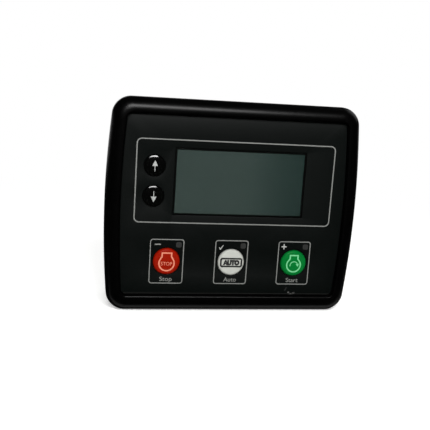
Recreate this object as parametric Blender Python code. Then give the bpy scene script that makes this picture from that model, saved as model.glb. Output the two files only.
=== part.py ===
"""Engine controller: a module that starts, stops and watches a generating set, made to sit in a panel.

Units are metres. The front faces -Y, +X is to the right as seen from the front, and +Z is up.
The origin is the centre of the overall box. The module passes through a cut-out in a panel, and
its flange seats on the panel's front.
"""

import math

import bmesh
import bpy

# Display window in the label, and the room round it that sets the size of the body
WINDOW_WIDTH = 0.0717
WINDOW_HEIGHT = 0.0360
ROOM_LEFT = 0.02485
ROOM_RIGHT = 0.02045
ROOM_ABOVE = 0.0134
KEY_DROP = 0.0254
ROOM_BELOW = 0.0162

# Front flange, past the square body, and its outline
FLANGE_X = 0.0075
FLANGE_Z = 0.0118
SIDE_BULGE = 0.00325
CORNER_RADIUS = 0.0090

# Section of the rolled rim, from the outer edge inwards: narrower at the sides, wider along the foot
CREST_INSET = 0.0065
CREST_RADIUS = 0.0065
CREST_RISE = 0.0025
OUTER_ROLL = 0.0068
RIM_WIDTH = 0.0080
RIM_SIDE_LESS = 0.0005
RIM_FOOT_EXTRA = 0.0013
RIM_LIP = 0.0007
RIM_DEPTH = 0.0100
RECESS_RADIUS = 0.0022
SEAT_CHAMFER = 0.0008

# Square body that passes through the panel, 1 mm under its cut-out of 118 by 92 mm
BODY_RADIUS = 0.0030
WALL = 0.0020
FRONT_BODY_LENGTH = 0.0085

# Clearances: between pieces that touch, and round pieces that slide
FIT = 0.0003
RUNNING_GAP = 0.0003

# Sealing ring in the flange, between an outer and an inner land
GASKET_INSET = 0.0026
GASKET_LAND = 0.0014
GASKET_DEPTH = 0.0015

# Label and the plate that carries it. The label stops short of the recess's lower wall
LABEL_THICKNESS = 0.0005
LABEL_FOOT_GAP = 0.0004
PLATE_THICKNESS = 0.0020

# Display behind the window
WINDOW_RADIUS = 0.0004
LENS_LEDGE = 0.0020
LENS_FLANGE = 0.0009
GLASS_MARGIN_X = 0.0014
GLASS_MARGIN_Z = 0.0035
GLASS_THICKNESS = 0.0020
LCD_SHEET = 0.0005
GUIDE_MARGIN = 0.0004
STRIP_WIDTH = 0.0028
STRIP_GAP = 0.0006

# Keys
KEY_SIDE_MARGIN = 0.0231
KEY_DIAMETER = 0.0145
KEY_PROUD = 0.0010
KEY_EDGE = 0.0006
ARROW_GAP = 0.00205
ARROW_PITCH = 0.0162
ARROW_DIAMETER = 0.0110
ARROW_PROUD = 0.0006
ARROW_CROWN = 0.0009
KEY_LIP = 0.0007
KEY_LIP_THICKNESS = 0.0010
STEM_DIAMETER = 0.0050
STEM_LENGTH = 0.0012
KEY_TRAVEL = 0.0006

# Tact switches
SWITCH_SIZE = 0.0060
SWITCH_HEIGHT = 0.0037
PLUNGER_DIAMETER = 0.0034
PLUNGER_LENGTH = 0.0027
PLUNGER_OUT = 0.0014

# Status lights, up and to the right of their keys
PIPE_IN_FROM_KEY_EDGE = 0.00095
PIPE_ABOVE_KEY = 0.00195
PIPE_SIZE = 0.0033
PIPE_STEP = 0.0003
LIGHT_WIDTH = 0.0020
LIGHT_HEIGHT = 0.0013
LIGHT_THICKNESS = 0.0008

# Boards, their spacers and the long screws
BOARD_EDGE_GAP = 0.0020
BOARD_RADIUS = 0.0020
BOARD_THICKNESS = 0.0016
BOARD_SPACING = 0.0114
SCREW_INSET = 0.0085
SCREW_DIAMETER = 0.0028
SCREW_HEAD_DIAMETER = 0.0055
SCREW_HEAD_HEIGHT = 0.0024
SCREW_REACH = 0.0052
SCREW_SLOT = 0.0009
SCREW_SLOT_DEPTH = 0.0013
BOSS_WALL = 0.0022
PILOT_EXTRA = 0.0010
SHOULDER = 0.0050
PILLAR_WALL = 0.0014

# Rear cover
LIP_LENGTH = 0.0025
LIP_THICKNESS = 0.0010
LIP_ROOT = 0.0012
BACK_ROUND = 0.0018
VENT_COUNT = 7
VENT_PITCH = 0.0042
VENT_WIDTH = 0.0018
VENT_LENGTH = 0.0260
VENT_X = 0.0270
CLIP_SLOT_INSET = 0.0265
CLIP_SLOT_WIDTH = 0.0036
CLIP_SLOT_LENGTH = 0.0120
CLIP_SLOT_FROM_SPLIT = 0.0050

# Sockets for plug-in terminal blocks, in a row along the top and one along the bottom
PITCH = 0.00508
OUTPUT_WAYS = 8
SENSING_WAYS = 6
INPUT_WAYS = 11
SOCKET_GAP = 0.0070
USB_GAP = 0.0090
ROW_EDGE = 0.0125
ROW_CLEAR = 0.0006
HEADER_LENGTH = 0.0141
HEADER_HEIGHT = 0.0106
HEADER_WALL = 0.0012
HEADER_DEPTH = 0.0090
HEADER_BELOW_BACK = 0.0005
PIN_SIZE = 0.0010
PIN_LENGTH = 0.0075
PIN_OFFSET = 0.0019
KEYWAY_WIDTH = 0.0016
KEYWAY_DEPTH = 0.0006
OPENING_GAP = 0.0004

# USB socket
USB_WIDTH = 0.0120
USB_HEIGHT = 0.0110
USB_SHEET = 0.0012
USB_DEPTH = 0.0100
TONGUE_WIDTH = 0.0056
TONGUE_HEIGHT = 0.0032
TONGUE_LENGTH = 0.0070
TONGUE_BASE = 0.0015

# Larger parts on the boards. Insets run from the boards' edges
PART_HEADROOM = 0.0014
PROCESSOR_SIZE = 0.0140
PROCESSOR_HEIGHT = 0.0014
PROCESSOR_INSET_X = 0.0365
PROCESSOR_INSET_Z = 0.0315
BATTERY_DIAMETER = 0.0125
BATTERY_HEIGHT = 0.0025
BATTERY_INSET_X = 0.0325
BATTERY_INSET_Z = 0.0295
CAPACITOR_DIAMETER = 0.0080
CAPACITOR_PITCH = 0.0110
CAPACITOR_INSET_X = 0.0205
SUPPLY_INSET_Z = 0.0215
INDUCTOR_SIZE = 0.0120
INDUCTOR_HEIGHT = 0.0065
INDUCTOR_GAP = 0.0060
RELAY_LENGTH = 0.0200
RELAY_WIDTH = 0.0100
RELAY_INSET_X = 0.0265
RELAY_GAP = 0.0080
RELAY_INSET_Z = 0.0175
LINK_LENGTH = 0.0260
LINK_WIDTH = 0.0050
LINK_INSET_X = 0.0285
LINK_INSET_Z = 0.0135

# Widths of the rows at the back
OUTPUT_WIDTH = OUTPUT_WAYS * PITCH + 2 * HEADER_WALL
SENSING_WIDTH = SENSING_WAYS * PITCH + 2 * HEADER_WALL
INPUT_WIDTH = INPUT_WAYS * PITCH + 2 * HEADER_WALL
TOP_ROW = OUTPUT_WIDTH + SOCKET_GAP + SENSING_WIDTH
BOTTOM_ROW = INPUT_WIDTH + USB_GAP + USB_WIDTH
PILLAR_RADIUS = SCREW_HEAD_DIAMETER / 2 + FIT + PILLAR_WALL

# Half size of the body: wide enough for the front's layout, and for a row between the screw pillars
FRONT_NEED = (WINDOW_WIDTH + ROOM_LEFT + ROOM_RIGHT) / 2
BACK_NEED = max(TOP_ROW, BOTTOM_ROW) / 2 + OPENING_GAP + ROW_CLEAR + PILLAR_RADIUS + SCREW_INSET
BODY_X = max(FRONT_NEED, BACK_NEED)
BODY_Z = (WINDOW_HEIGHT + ROOM_ABOVE + KEY_DROP + ROOM_BELOW) / 2
HALF_WIDTH = BODY_X + FLANGE_X
HALF_HEIGHT = BODY_Z + FLANGE_Z
BULGE_RATIO = SIDE_BULGE / HALF_WIDTH

# Places on the front
WINDOW_X = (ROOM_LEFT - ROOM_RIGHT) / 2
WINDOW_Z = BODY_Z - ROOM_ABOVE - WINDOW_HEIGHT / 2
KEY_Z = WINDOW_Z - WINDOW_HEIGHT / 2 - KEY_DROP
KEY_PITCH = BODY_X - KEY_SIDE_MARGIN
LCD_EDGE = WINDOW_X - WINDOW_WIDTH / 2 - GLASS_MARGIN_X - FIT - LCD_SHEET
ARROW_X = LCD_EDGE - ARROW_GAP - KEY_LIP - ARROW_DIAMETER / 2
PIPE_X = KEY_DIAMETER / 2 - PIPE_IN_FROM_KEY_EDGE
PIPE_Z = KEY_DIAMETER / 2 + PIPE_ABOVE_KEY

# Places at the back and inside
BOARD_X = BODY_X - WALL - BOARD_EDGE_GAP
BOARD_Z = BODY_Z - WALL - BOARD_EDGE_GAP
SCREW_X = BODY_X - SCREW_INSET
SCREW_Z = BODY_Z - SCREW_INSET
CLIP_SLOT_X = BODY_X - CLIP_SLOT_INSET
ROW_Z = BODY_Z - ROW_EDGE
USB_X = BOTTOM_ROW / 2 - USB_WIDTH / 2
USB_Z = -ROW_Z
HEADERS = (
    ("header_outputs", OUTPUT_WAYS, (OUTPUT_WIDTH - TOP_ROW) / 2, 1),
    ("header_sensing", SENSING_WAYS, (TOP_ROW - SENSING_WIDTH) / 2, 1),
    ("header_inputs", INPUT_WAYS, (INPUT_WIDTH - BOTTOM_ROW) / 2, -1),
)

# Space behind the plate for a key's lip, stem and switch, and the whole depth
SWITCH_SPACE = KEY_LIP_THICKNESS + STEM_LENGTH + PLUNGER_OUT + SWITCH_HEIGHT + 3 * FIT
FRONT_STACK = CREST_RISE + LABEL_THICKNESS + FIT + PLATE_THICKNESS + SWITCH_SPACE
BOARD_STACK = BOARD_THICKNESS + BOARD_SPACING + BOARD_THICKNESS
DEPTH = FRONT_STACK + BOARD_STACK + FIT + HEADER_LENGTH + HEADER_BELOW_BACK

# Planes along Y, front to back
Y_CREST = -DEPTH / 2
Y_LABEL = Y_CREST + CREST_RISE
Y_FLOOR = Y_LABEL + LABEL_THICKNESS + FIT
Y_PLATE_BACK = Y_FLOOR + PLATE_THICKNESS
Y_SEAT = Y_CREST + RIM_DEPTH
Y_SPLIT = Y_SEAT + FRONT_BODY_LENGTH
Y_DISPLAY_BOARD = Y_PLATE_BACK + SWITCH_SPACE
Y_DISPLAY_BOARD_BACK = Y_DISPLAY_BOARD + BOARD_THICKNESS
Y_POWER_BOARD = Y_DISPLAY_BOARD_BACK + BOARD_SPACING
Y_POWER_BOARD_BACK = Y_POWER_BOARD + BOARD_THICKNESS
Y_BACK = DEPTH / 2

# How far a cutter runs past the wall that it opens
OVERSHOOT = 0.0010

# Segments of a full turn
FINE = 28
COARSE = 16
CORNER_STEPS = 5
SIDE_STEPS = 6

KEYS = {
    "stop": (-KEY_PITCH, KEY_Z, KEY_DIAMETER),
    "auto": (0.0, KEY_Z, KEY_DIAMETER),
    "start": (KEY_PITCH, KEY_Z, KEY_DIAMETER),
    "up": (ARROW_X, WINDOW_Z + ARROW_PITCH / 2, ARROW_DIAMETER),
    "down": (ARROW_X, WINDOW_Z - ARROW_PITCH / 2, ARROW_DIAMETER),
}
LIGHTS = ("stop", "auto", "start")
SCREWS = ((-1, 1), (1, 1), (-1, -1), (1, -1))


def clear_scene():
    for obj in list(bpy.data.objects):
        bpy.data.objects.remove(obj)


def finish(name, colour, roughness, metallic=0.0, transmission=0.0):
    """A plain material, made once for each name."""
    found = bpy.data.materials.get(name)
    if found:
        return found
    made = bpy.data.materials.new(name)
    made.use_nodes = True
    shader = made.node_tree.nodes["Principled BSDF"]
    shader.inputs["Base Color"].default_value = (*colour, 1.0)
    shader.inputs["Roughness"].default_value = roughness
    shader.inputs["Metallic"].default_value = metallic
    shader.inputs["Transmission Weight"].default_value = transmission
    made.diffuse_color = (*colour, 1.0)
    return made


def black_plastic():
    return finish("black moulded plastic", (0.012, 0.012, 0.013), 0.42)


def nickel():
    return finish("bright plated steel", (0.62, 0.60, 0.57), 0.28, metallic=1.0)


def board_green():
    return finish("green circuit board", (0.02, 0.12, 0.05), 0.45)


def dark_epoxy():
    return finish("dark epoxy", (0.02, 0.02, 0.022), 0.5)


def new_object(name, bm, material, origin=(0.0, 0.0, 0.0)):
    """Turn a bmesh in world places into an object whose own origin is at the given point."""
    bmesh.ops.recalc_face_normals(bm, faces=bm.faces)
    bmesh.ops.translate(bm, verts=bm.verts, vec=[-value for value in origin])
    mesh = bpy.data.meshes.new(name)
    bm.to_mesh(mesh)
    bm.free()
    obj = bpy.data.objects.new(name, mesh)
    obj.location = origin
    bpy.context.scene.collection.objects.link(obj)
    if material:
        mesh.materials.append(material)
    return obj


def smooth(obj, degrees=35):
    """Shade the round faces smooth and keep the edges that are sharper than the angle."""
    obj.data.shade_smooth()
    obj.data.set_sharp_from_angle(angle=math.radians(degrees))
    return obj


def add_ring(bm, ring, y):
    return [bm.verts.new((x, y, z)) for x, z in ring]


def bridge(bm, first, second):
    count = len(first)
    for i in range(count):
        j = (i + 1) % count
        bm.faces.new((first[i], first[j], second[j], second[i]))


def add_loft(bm, sections, closed=False):
    """Skin rings of equal count. A closed loft ends where it began, and an open one is capped."""
    loops = [add_ring(bm, ring, y) for y, ring in sections]
    for first, second in zip(loops, loops[1:]):
        bridge(bm, first, second)
    if closed:
        bridge(bm, loops[-1], loops[0])
        return
    bm.faces.new(loops[0])
    bm.faces.new(loops[-1])


def rounded(half_x, half_z, radius, steps=CORNER_STEPS, sides=SIDE_STEPS, at=(0.0, 0.0)):
    """Points of a rounded rectangle, with extra points down its two sides."""
    points = []
    corners = ((1, 1, 0.0), (-1, 1, 90.0), (-1, -1, 180.0), (1, -1, 270.0))
    for sign_x, sign_z, start in corners:
        centre = (sign_x * (half_x - radius), sign_z * (half_z - radius))
        arc = []
        for step in range(steps + 1):
            angle = math.radians(start + 90.0 * step / steps)
            arc.append((centre[0] + radius * math.cos(angle), centre[1] + radius * math.sin(angle)))
        points.extend(arc)
        if sign_x * sign_z < 0 and sides:
            # The side that follows this corner runs along Z
            x, z = arc[-1]
            points.extend((x, z * (1 - 2 * step / sides)) for step in range(1, sides))
    return [(at[0] + x, at[1] + z) for x, z in points]


def corner_radius(inset):
    """The rim's corners tighten a little up to the crest, and more from there down to the label."""
    if inset < CREST_INSET:
        return CORNER_RADIUS + (CREST_RADIUS - CORNER_RADIUS) * inset / CREST_INSET
    share = min((inset - CREST_INSET) / (RIM_WIDTH - CREST_INSET), 1.0)
    return CREST_RADIUS + (RECESS_RADIUS - CREST_RADIUS) * share


def rim_ring(inset):
    """A ring that follows the front's barrel-shaped outline, and stands off more along the foot."""
    share = min(inset / RIM_WIDTH, 1.0)
    half_width = HALF_WIDTH - inset + RIM_SIDE_LESS * share
    flat = rounded(half_width, HALF_HEIGHT - inset, corner_radius(inset))
    lift = RIM_FOOT_EXTRA * share / 2
    ring = []
    for x, z in flat:
        height = z / HALF_HEIGHT
        ring.append((x * (1 + BULGE_RATIO * (1 - height ** 2)), z + lift * (1 - height)))
    return ring


def body_ring(inset):
    """A ring parallel to the square body that passes through the panel."""
    return rounded(BODY_X - inset, BODY_Z - inset, max(BODY_RADIUS - inset, WALL / 4))


def add_turned(bm, profile, at, segments, phase=0.0, closed=False):
    """Turn a profile of (radius, y) points about a line along Y. A zero radius makes a pole."""
    loops = []
    for radius, y in profile:
        if radius == 0.0:
            loops.append([bm.verts.new((at[0], y, at[1]))])
            continue
        loop = []
        for i in range(segments):
            angle = phase + math.tau * i / segments
            loop.append(bm.verts.new((at[0] + radius * math.cos(angle), y, at[1] + radius * math.sin(angle))))
        loops.append(loop)
    pairs = list(zip(loops, loops[1:]))
    if closed:
        pairs.append((loops[-1], loops[0]))
    for first, second in pairs:
        for i in range(segments):
            j = (i + 1) % segments
            if len(first) == 1:
                bm.faces.new((first[0], second[j], second[i]))
            elif len(second) == 1:
                bm.faces.new((first[i], first[j], second[0]))
            else:
                bm.faces.new((first[i], first[j], second[j], second[i]))


def add_disc(bm, radius, front, back, at, segments=COARSE):
    add_turned(bm, [(0.0, front), (radius, front), (radius, back), (0.0, back)], at, segments)


def add_tube(bm, outer, inner, front, back, at, segments=COARSE):
    profile = [(outer, front), (outer, back), (inner, back), (inner, front)]
    add_turned(bm, profile, at, segments, closed=True)


def add_block(bm, size, front, back, at=(0.0, 0.0)):
    """A box of (width, height) about a point on X and Z, between two planes along Y."""
    half_x = size[0] / 2
    half_z = size[1] / 2
    ring = [(-half_x, -half_z), (half_x, -half_z), (half_x, half_z), (-half_x, half_z)]
    placed = [(at[0] + x, at[1] + z) for x, z in ring]
    add_loft(bm, [(front, placed), (back, placed)])


def combine(target, operation, bm, label):
    """Cut a hidden helper's shape out of the target, or join it on."""
    helper = new_object(f"{target.name}_{label}", bm, None, target.location)
    helper.hide_render = True
    helper.display_type = "WIRE"
    modifier = target.modifiers.new(label, "BOOLEAN")
    modifier.operation = operation
    modifier.solver = "EXACT"
    modifier.object = helper
    return target


def cut(target, bm, label="openings"):
    return combine(target, "DIFFERENCE", bm, label)


def join(target, bm, label="added"):
    return combine(target, "UNION", bm, label)


def rim_section():
    """The rim's outer face as (inset, y), from the label recess over the crest to the panel seat."""
    section = [(RIM_WIDTH, Y_FLOOR)]
    lip = Y_LABEL - RIM_LIP
    inner_steps = 5
    for step in range(inner_steps, 0, -1):
        angle = math.radians(90.0 * step / inner_steps)
        inset = CREST_INSET + (RIM_WIDTH - CREST_INSET) * math.sin(angle)
        section.append((inset, Y_CREST + (lip - Y_CREST) * (1 - math.cos(angle))))
    outer_steps = 6
    for step in range(outer_steps + 1):
        angle = math.radians(90.0 * step / outer_steps)
        section.append((CREST_INSET * (1 - math.sin(angle)), Y_CREST + OUTER_ROLL * (1 - math.cos(angle))))
    section.append((0.0, Y_SEAT - SEAT_CHAMFER))
    section.append((SEAT_CHAMFER, Y_SEAT))
    groove_end = FLANGE_X - GASKET_LAND
    section.append((GASKET_INSET, Y_SEAT))
    section.append((GASKET_INSET, Y_SEAT - GASKET_DEPTH))
    section.append((groove_end, Y_SEAT - GASKET_DEPTH))
    section.append((groove_end, Y_SEAT))
    return section


def screw_places():
    return [(sign_x * SCREW_X, sign_z * SCREW_Z) for sign_x, sign_z in SCREWS]


def light_place(name):
    x, z, _ = KEYS[name]
    return (x + PIPE_X, z + PIPE_Z)


def add_key_openings(bm, front, back):
    """Cutters through the label or the plate for the keys."""
    for x, z, diameter in KEYS.values():
        add_disc(bm, diameter / 2 + RUNNING_GAP, front, back, (x, z), FINE)


def front_bezel():
    """The front moulding: rim, label plate, flange and the front half of the square body."""
    sections = [(y, rim_ring(inset)) for inset, y in rim_section()]
    sections.append((Y_SEAT, body_ring(0.0)))
    sections.append((Y_SPLIT, body_ring(0.0)))
    sections.append((Y_SPLIT, body_ring(WALL)))
    sections.append((Y_PLATE_BACK, body_ring(WALL)))
    bm = bmesh.new()
    add_loft(bm, sections)
    bezel = new_object("front_bezel", bm, black_plastic())

    bosses = bmesh.new()
    boss_radius = SCREW_DIAMETER / 2 + BOSS_WALL
    for place in screw_places():
        add_disc(bosses, boss_radius, Y_PLATE_BACK - PLATE_THICKNESS / 2, Y_DISPLAY_BOARD - FIT, place)
    join(bezel, bosses, "bosses")

    holes = bmesh.new()
    add_key_openings(holes, Y_FLOOR - OVERSHOOT, Y_PLATE_BACK + OVERSHOOT)
    side = PIPE_SIZE + 2 * FIT
    for name in LIGHTS:
        add_block(holes, (side, side), Y_FLOOR - OVERSHOOT, Y_PLATE_BACK + OVERSHOOT, light_place(name))
    at = (WINDOW_X, WINDOW_Z)
    ledge = (WINDOW_WIDTH + 2 * LENS_LEDGE + 2 * FIT, WINDOW_HEIGHT + 2 * LENS_LEDGE + 2 * FIT)
    step = Y_FLOOR + LENS_FLANGE + FIT
    add_loft(holes, [
        (Y_FLOOR - OVERSHOOT, rounded(ledge[0] / 2, ledge[1] / 2, LENS_LEDGE, 2, 0, at)),
        (step, rounded(ledge[0] / 2, ledge[1] / 2, LENS_LEDGE, 2, 0, at)),
        (step, rounded(WINDOW_WIDTH / 2, WINDOW_HEIGHT / 2, WINDOW_RADIUS, 2, 0, at)),
        (Y_PLATE_BACK + OVERSHOOT, rounded(WINDOW_WIDTH / 2, WINDOW_HEIGHT / 2, WINDOW_RADIUS, 2, 0, at)),
    ])
    pilot = SCREW_DIAMETER / 2 + FIT
    bottom = Y_DISPLAY_BOARD - SCREW_REACH - PILOT_EXTRA
    for place in screw_places():
        add_disc(holes, pilot, bottom, Y_DISPLAY_BOARD + OVERSHOOT, place)
    cut(bezel, holes)
    return smooth(bezel)


def fascia_label():
    """The thin label that fills the recess, open for the keys and the display."""
    bm = bmesh.new()
    recess = rim_ring(RIM_WIDTH + FIT)
    ring = [(x, z + LABEL_FOOT_GAP * (1 - z / HALF_HEIGHT) / 2) for x, z in recess]
    add_loft(bm, [(Y_LABEL, ring), (Y_LABEL + LABEL_THICKNESS, ring)])
    label = new_object("fascia_label", bm, finish("printed label", (0.011, 0.012, 0.012), 0.5))
    holes = bmesh.new()
    back = Y_LABEL + LABEL_THICKNESS + OVERSHOOT / 4
    add_key_openings(holes, Y_LABEL - OVERSHOOT, back)
    window = rounded(WINDOW_WIDTH / 2, WINDOW_HEIGHT / 2, WINDOW_RADIUS, 2, 0, (WINDOW_X, WINDOW_Z))
    add_loft(holes, [(Y_LABEL - OVERSHOOT, window), (back, window)])
    return cut(label, holes)


def panel_gasket():
    """The rubber ring that lies in the flange's groove, flush with the seat."""
    front = Y_SEAT - GASKET_DEPTH + FIT
    outer = rim_ring(GASKET_INSET + FIT)
    inner = rim_ring(FLANGE_X - GASKET_LAND - FIT)
    bm = bmesh.new()
    add_loft(bm, [(front, outer), (Y_SEAT, outer), (Y_SEAT, inner), (front, inner)], closed=True)
    return new_object("panel_gasket", bm, finish("black rubber", (0.02, 0.02, 0.02), 0.85))


def display_window():
    """A clear lens: a raised face that fills the label's opening, on a flange held under the label."""
    at = (WINDOW_X, WINDOW_Z)
    face = rounded(WINDOW_WIDTH / 2 - FIT, WINDOW_HEIGHT / 2 - FIT, WINDOW_RADIUS, 2, 0, at)
    flange = rounded(WINDOW_WIDTH / 2 + LENS_LEDGE, WINDOW_HEIGHT / 2 + LENS_LEDGE, LENS_LEDGE - FIT, 2, 0, at)
    bm = bmesh.new()
    add_loft(bm, [
        (Y_LABEL, face),
        (Y_FLOOR, face),
        (Y_FLOOR, flange),
        (Y_FLOOR + LENS_FLANGE, flange),
    ])
    return new_object("display_window", bm, finish("clear lens", (0.8, 0.85, 0.82), 0.05, transmission=1.0))


def lcd_sizes():
    """The display glass, wider than the window by its margins."""
    width = WINDOW_WIDTH + 2 * GLASS_MARGIN_X
    height = WINDOW_HEIGHT + 2 * GLASS_MARGIN_Z
    return width, height


def lcd_glass():
    front = Y_PLATE_BACK + FIT + LCD_SHEET + FIT
    bm = bmesh.new()
    add_block(bm, lcd_sizes(), front, front + GLASS_THICKNESS, (WINDOW_X, WINDOW_Z))
    return new_object("lcd_glass", bm, finish("display glass", (0.05, 0.062, 0.055), 0.2))


def lcd_frame():
    """A folded steel frame that clamps the display glass to the board."""
    width, height = lcd_sizes()
    at = (WINDOW_X, WINDOW_Z)
    inner = rounded(width / 2 + FIT, height / 2 + FIT, FIT, 1, 0, at)
    outer = rounded(width / 2 + FIT + LCD_SHEET, height / 2 + FIT + LCD_SHEET, FIT, 1, 0, at)
    opening = rounded(WINDOW_WIDTH / 2 + FIT, WINDOW_HEIGHT / 2 + FIT, FIT, 1, 0, at)
    front = Y_PLATE_BACK + FIT
    back = Y_DISPLAY_BOARD - FIT
    bm = bmesh.new()
    add_loft(bm, [
        (front, opening),
        (front, outer),
        (back, outer),
        (back, inner),
        (front + LCD_SHEET, inner),
        (front + LCD_SHEET, opening),
    ], closed=True)
    return new_object("lcd_frame", bm, finish("black steel sheet", (0.02, 0.02, 0.02), 0.4, metallic=0.6))


def lcd_light_guide():
    """The clear block behind the glass that spreads the backlight. It stops short of the strip."""
    width, height = lcd_sizes()
    front = Y_PLATE_BACK + LCD_SHEET + 3 * FIT + GLASS_THICKNESS
    guide_height = height - 2 * GUIDE_MARGIN - STRIP_WIDTH - STRIP_GAP
    z = WINDOW_Z + (STRIP_WIDTH + STRIP_GAP) / 2
    bm = bmesh.new()
    add_block(bm, (width - 2 * GUIDE_MARGIN, guide_height), front, Y_DISPLAY_BOARD - FIT, (WINDOW_X, z))
    return new_object("lcd_light_guide", bm, finish("milky acrylic", (0.75, 0.78, 0.74), 0.3))


def lcd_contact_strip():
    """The elastomer strip that joins the glass's contacts to the board."""
    width, height = lcd_sizes()
    front = Y_PLATE_BACK + LCD_SHEET + 3 * FIT + GLASS_THICKNESS
    z = WINDOW_Z - height / 2 + GUIDE_MARGIN + STRIP_WIDTH / 2
    bm = bmesh.new()
    add_block(bm, (width - 2 * LENS_LEDGE, STRIP_WIDTH), front, Y_DISPLAY_BOARD - FIT, (WINDOW_X, z))
    return new_object("lcd_contact_strip", bm, finish("pink elastomer", (0.55, 0.24, 0.22), 0.7))


def key_front(radius, crowned):
    """The cap's face as (radius, y): a flat face with a rolled edge, or a shallow crown."""
    if crowned:
        top = Y_LABEL - ARROW_PROUD - ARROW_CROWN
        steps = 4
        points = [(0.0, top)]
        for step in range(1, steps + 1):
            share = step / steps
            points.append((radius * math.sin(share * math.pi / 2), top + ARROW_CROWN * (1 - math.cos(share * math.pi / 2))))
        return points
    top = Y_LABEL - KEY_PROUD
    steps = 3
    points = [(0.0, top)]
    for step in range(steps + 1):
        angle = math.radians(90.0 * step / steps)
        points.append((radius - KEY_EDGE * (1 - math.sin(angle)), top + KEY_EDGE * (1 - math.cos(angle))))
    return points


def key_cap(name, colour, roughness=0.35):
    """A key cap: its face, the lip that holds it behind the plate, and the stem on its switch."""
    x, z, diameter = KEYS[name]
    radius = diameter / 2
    lip_front = Y_PLATE_BACK + FIT
    lip_back = lip_front + KEY_LIP_THICKNESS
    stem_end = lip_back + STEM_LENGTH
    profile = key_front(radius, name in ("up", "down"))
    profile.extend([
        (radius, lip_front),
        (radius + KEY_LIP, lip_front),
        (radius + KEY_LIP, lip_back),
        (STEM_DIAMETER / 2, lip_back),
        (STEM_DIAMETER / 2, stem_end),
        (0.0, stem_end),
    ])
    bm = bmesh.new()
    add_turned(bm, profile, (x, z), FINE)
    cap = new_object(f"{name}_button", bm, finish(f"{name} key plastic", colour, roughness), (x, Y_LABEL, z))
    return smooth(cap)


def tact_switch(name):
    """The switch body on the board, and the plunger that the cap's stem presses."""
    x, z, _ = KEYS[name]
    plunger_front = Y_PLATE_BACK + FIT + KEY_LIP_THICKNESS + STEM_LENGTH + FIT
    plunger_back = plunger_front + PLUNGER_LENGTH
    bm = bmesh.new()
    add_disc(bm, PLUNGER_DIAMETER / 2, plunger_front, plunger_back, (x, z))
    plunger = new_object(f"{name}_plunger", bm, finish("plunger plastic", (0.30, 0.03, 0.02), 0.4), (x, Y_LABEL, z))
    smooth(plunger)

    back = Y_DISPLAY_BOARD - FIT
    front = back - SWITCH_HEIGHT
    bm = bmesh.new()
    add_block(bm, (SWITCH_SIZE, SWITCH_SIZE), front, back, (x, z))
    body = new_object(f"{name}_switch", bm, dark_epoxy())
    bore = bmesh.new()
    depth = plunger_back + KEY_TRAVEL + RUNNING_GAP
    add_disc(bore, PLUNGER_DIAMETER / 2 + RUNNING_GAP, front - OVERSHOOT, depth, (x, z))
    return cut(body, bore, "bore")


def status_light(name):
    """A square light pipe from under the label, and the light chip on the board behind it."""
    place = light_place(name)
    half = PIPE_SIZE / 2 * math.sqrt(2)
    wide = (PIPE_SIZE / 2 + PIPE_STEP) * math.sqrt(2)
    chip_front = Y_DISPLAY_BOARD - FIT - LIGHT_THICKNESS
    step = Y_PLATE_BACK + FIT
    profile = [
        (0.0, Y_FLOOR),
        (half, Y_FLOOR),
        (half, step),
        (wide, step),
        (wide, chip_front - FIT),
        (0.0, chip_front - FIT),
    ]
    bm = bmesh.new()
    add_turned(bm, profile, place, 4, math.pi / 4)
    new_object(f"{name}_light_pipe", bm, finish("smoked clear plastic", (0.03, 0.03, 0.03), 0.3))
    bm = bmesh.new()
    add_block(bm, (LIGHT_WIDTH, LIGHT_HEIGHT), chip_front, Y_DISPLAY_BOARD - FIT, place)
    new_object(f"{name}_light", bm, finish("light chip", (0.8, 0.75, 0.5), 0.4))


def board(name, front):
    """A circuit board with the four screw holes."""
    ring = rounded(BOARD_X, BOARD_Z, BOARD_RADIUS, 2, 0)
    bm = bmesh.new()
    add_loft(bm, [(front, ring), (front + BOARD_THICKNESS, ring)])
    made = new_object(name, bm, board_green())
    holes = bmesh.new()
    for place in screw_places():
        back = front + BOARD_THICKNESS + OVERSHOOT
        add_disc(holes, SCREW_DIAMETER / 2 + FIT, front - OVERSHOOT, back, place)
    return cut(made, holes)


def board_spacers():
    bore = SCREW_DIAMETER / 2 + FIT
    for number, place in enumerate(screw_places(), start=1):
        bm = bmesh.new()
        add_tube(bm, bore + BOSS_WALL / 2, bore, Y_DISPLAY_BOARD_BACK + FIT, Y_POWER_BOARD - FIT, place)
        spacer = new_object(f"board_spacer_{number}", bm, finish("white nylon", (0.75, 0.74, 0.70), 0.5))
        smooth(spacer)


def case_screws():
    """Long pan-head screws from the rear cover through both boards into the front moulding."""
    seat = Y_POWER_BOARD_BACK + FIT + SHOULDER + FIT
    top = seat + SCREW_HEAD_HEIGHT
    head = SCREW_HEAD_DIAMETER / 2
    shank = SCREW_DIAMETER / 2
    tip = Y_DISPLAY_BOARD - SCREW_REACH
    profile = [
        (0.0, tip),
        (shank * 0.6, tip),
        (shank, tip + shank),
        (shank, seat),
        (head, seat),
        (head, top - SCREW_HEAD_HEIGHT / 3),
        (head * 0.8, top),
        (0.0, top),
    ]
    for number, place in enumerate(screw_places(), start=1):
        bm = bmesh.new()
        add_turned(bm, profile, place, COARSE)
        screw = new_object(f"case_screw_{number}", bm, nickel())
        slots = bmesh.new()
        long_side = head * 1.3
        add_block(slots, (long_side, SCREW_SLOT), top - SCREW_SLOT_DEPTH, top + OVERSHOOT, place)
        across = bmesh.new()
        add_block(across, (SCREW_SLOT, long_side), top - SCREW_SLOT_DEPTH, top + OVERSHOOT, place)
        cut(screw, slots, "slot")
        cut(screw, across, "cross_slot")
        smooth(screw)


def header_size(ways):
    return (ways * PITCH + 2 * HEADER_WALL, HEADER_HEIGHT)


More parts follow.
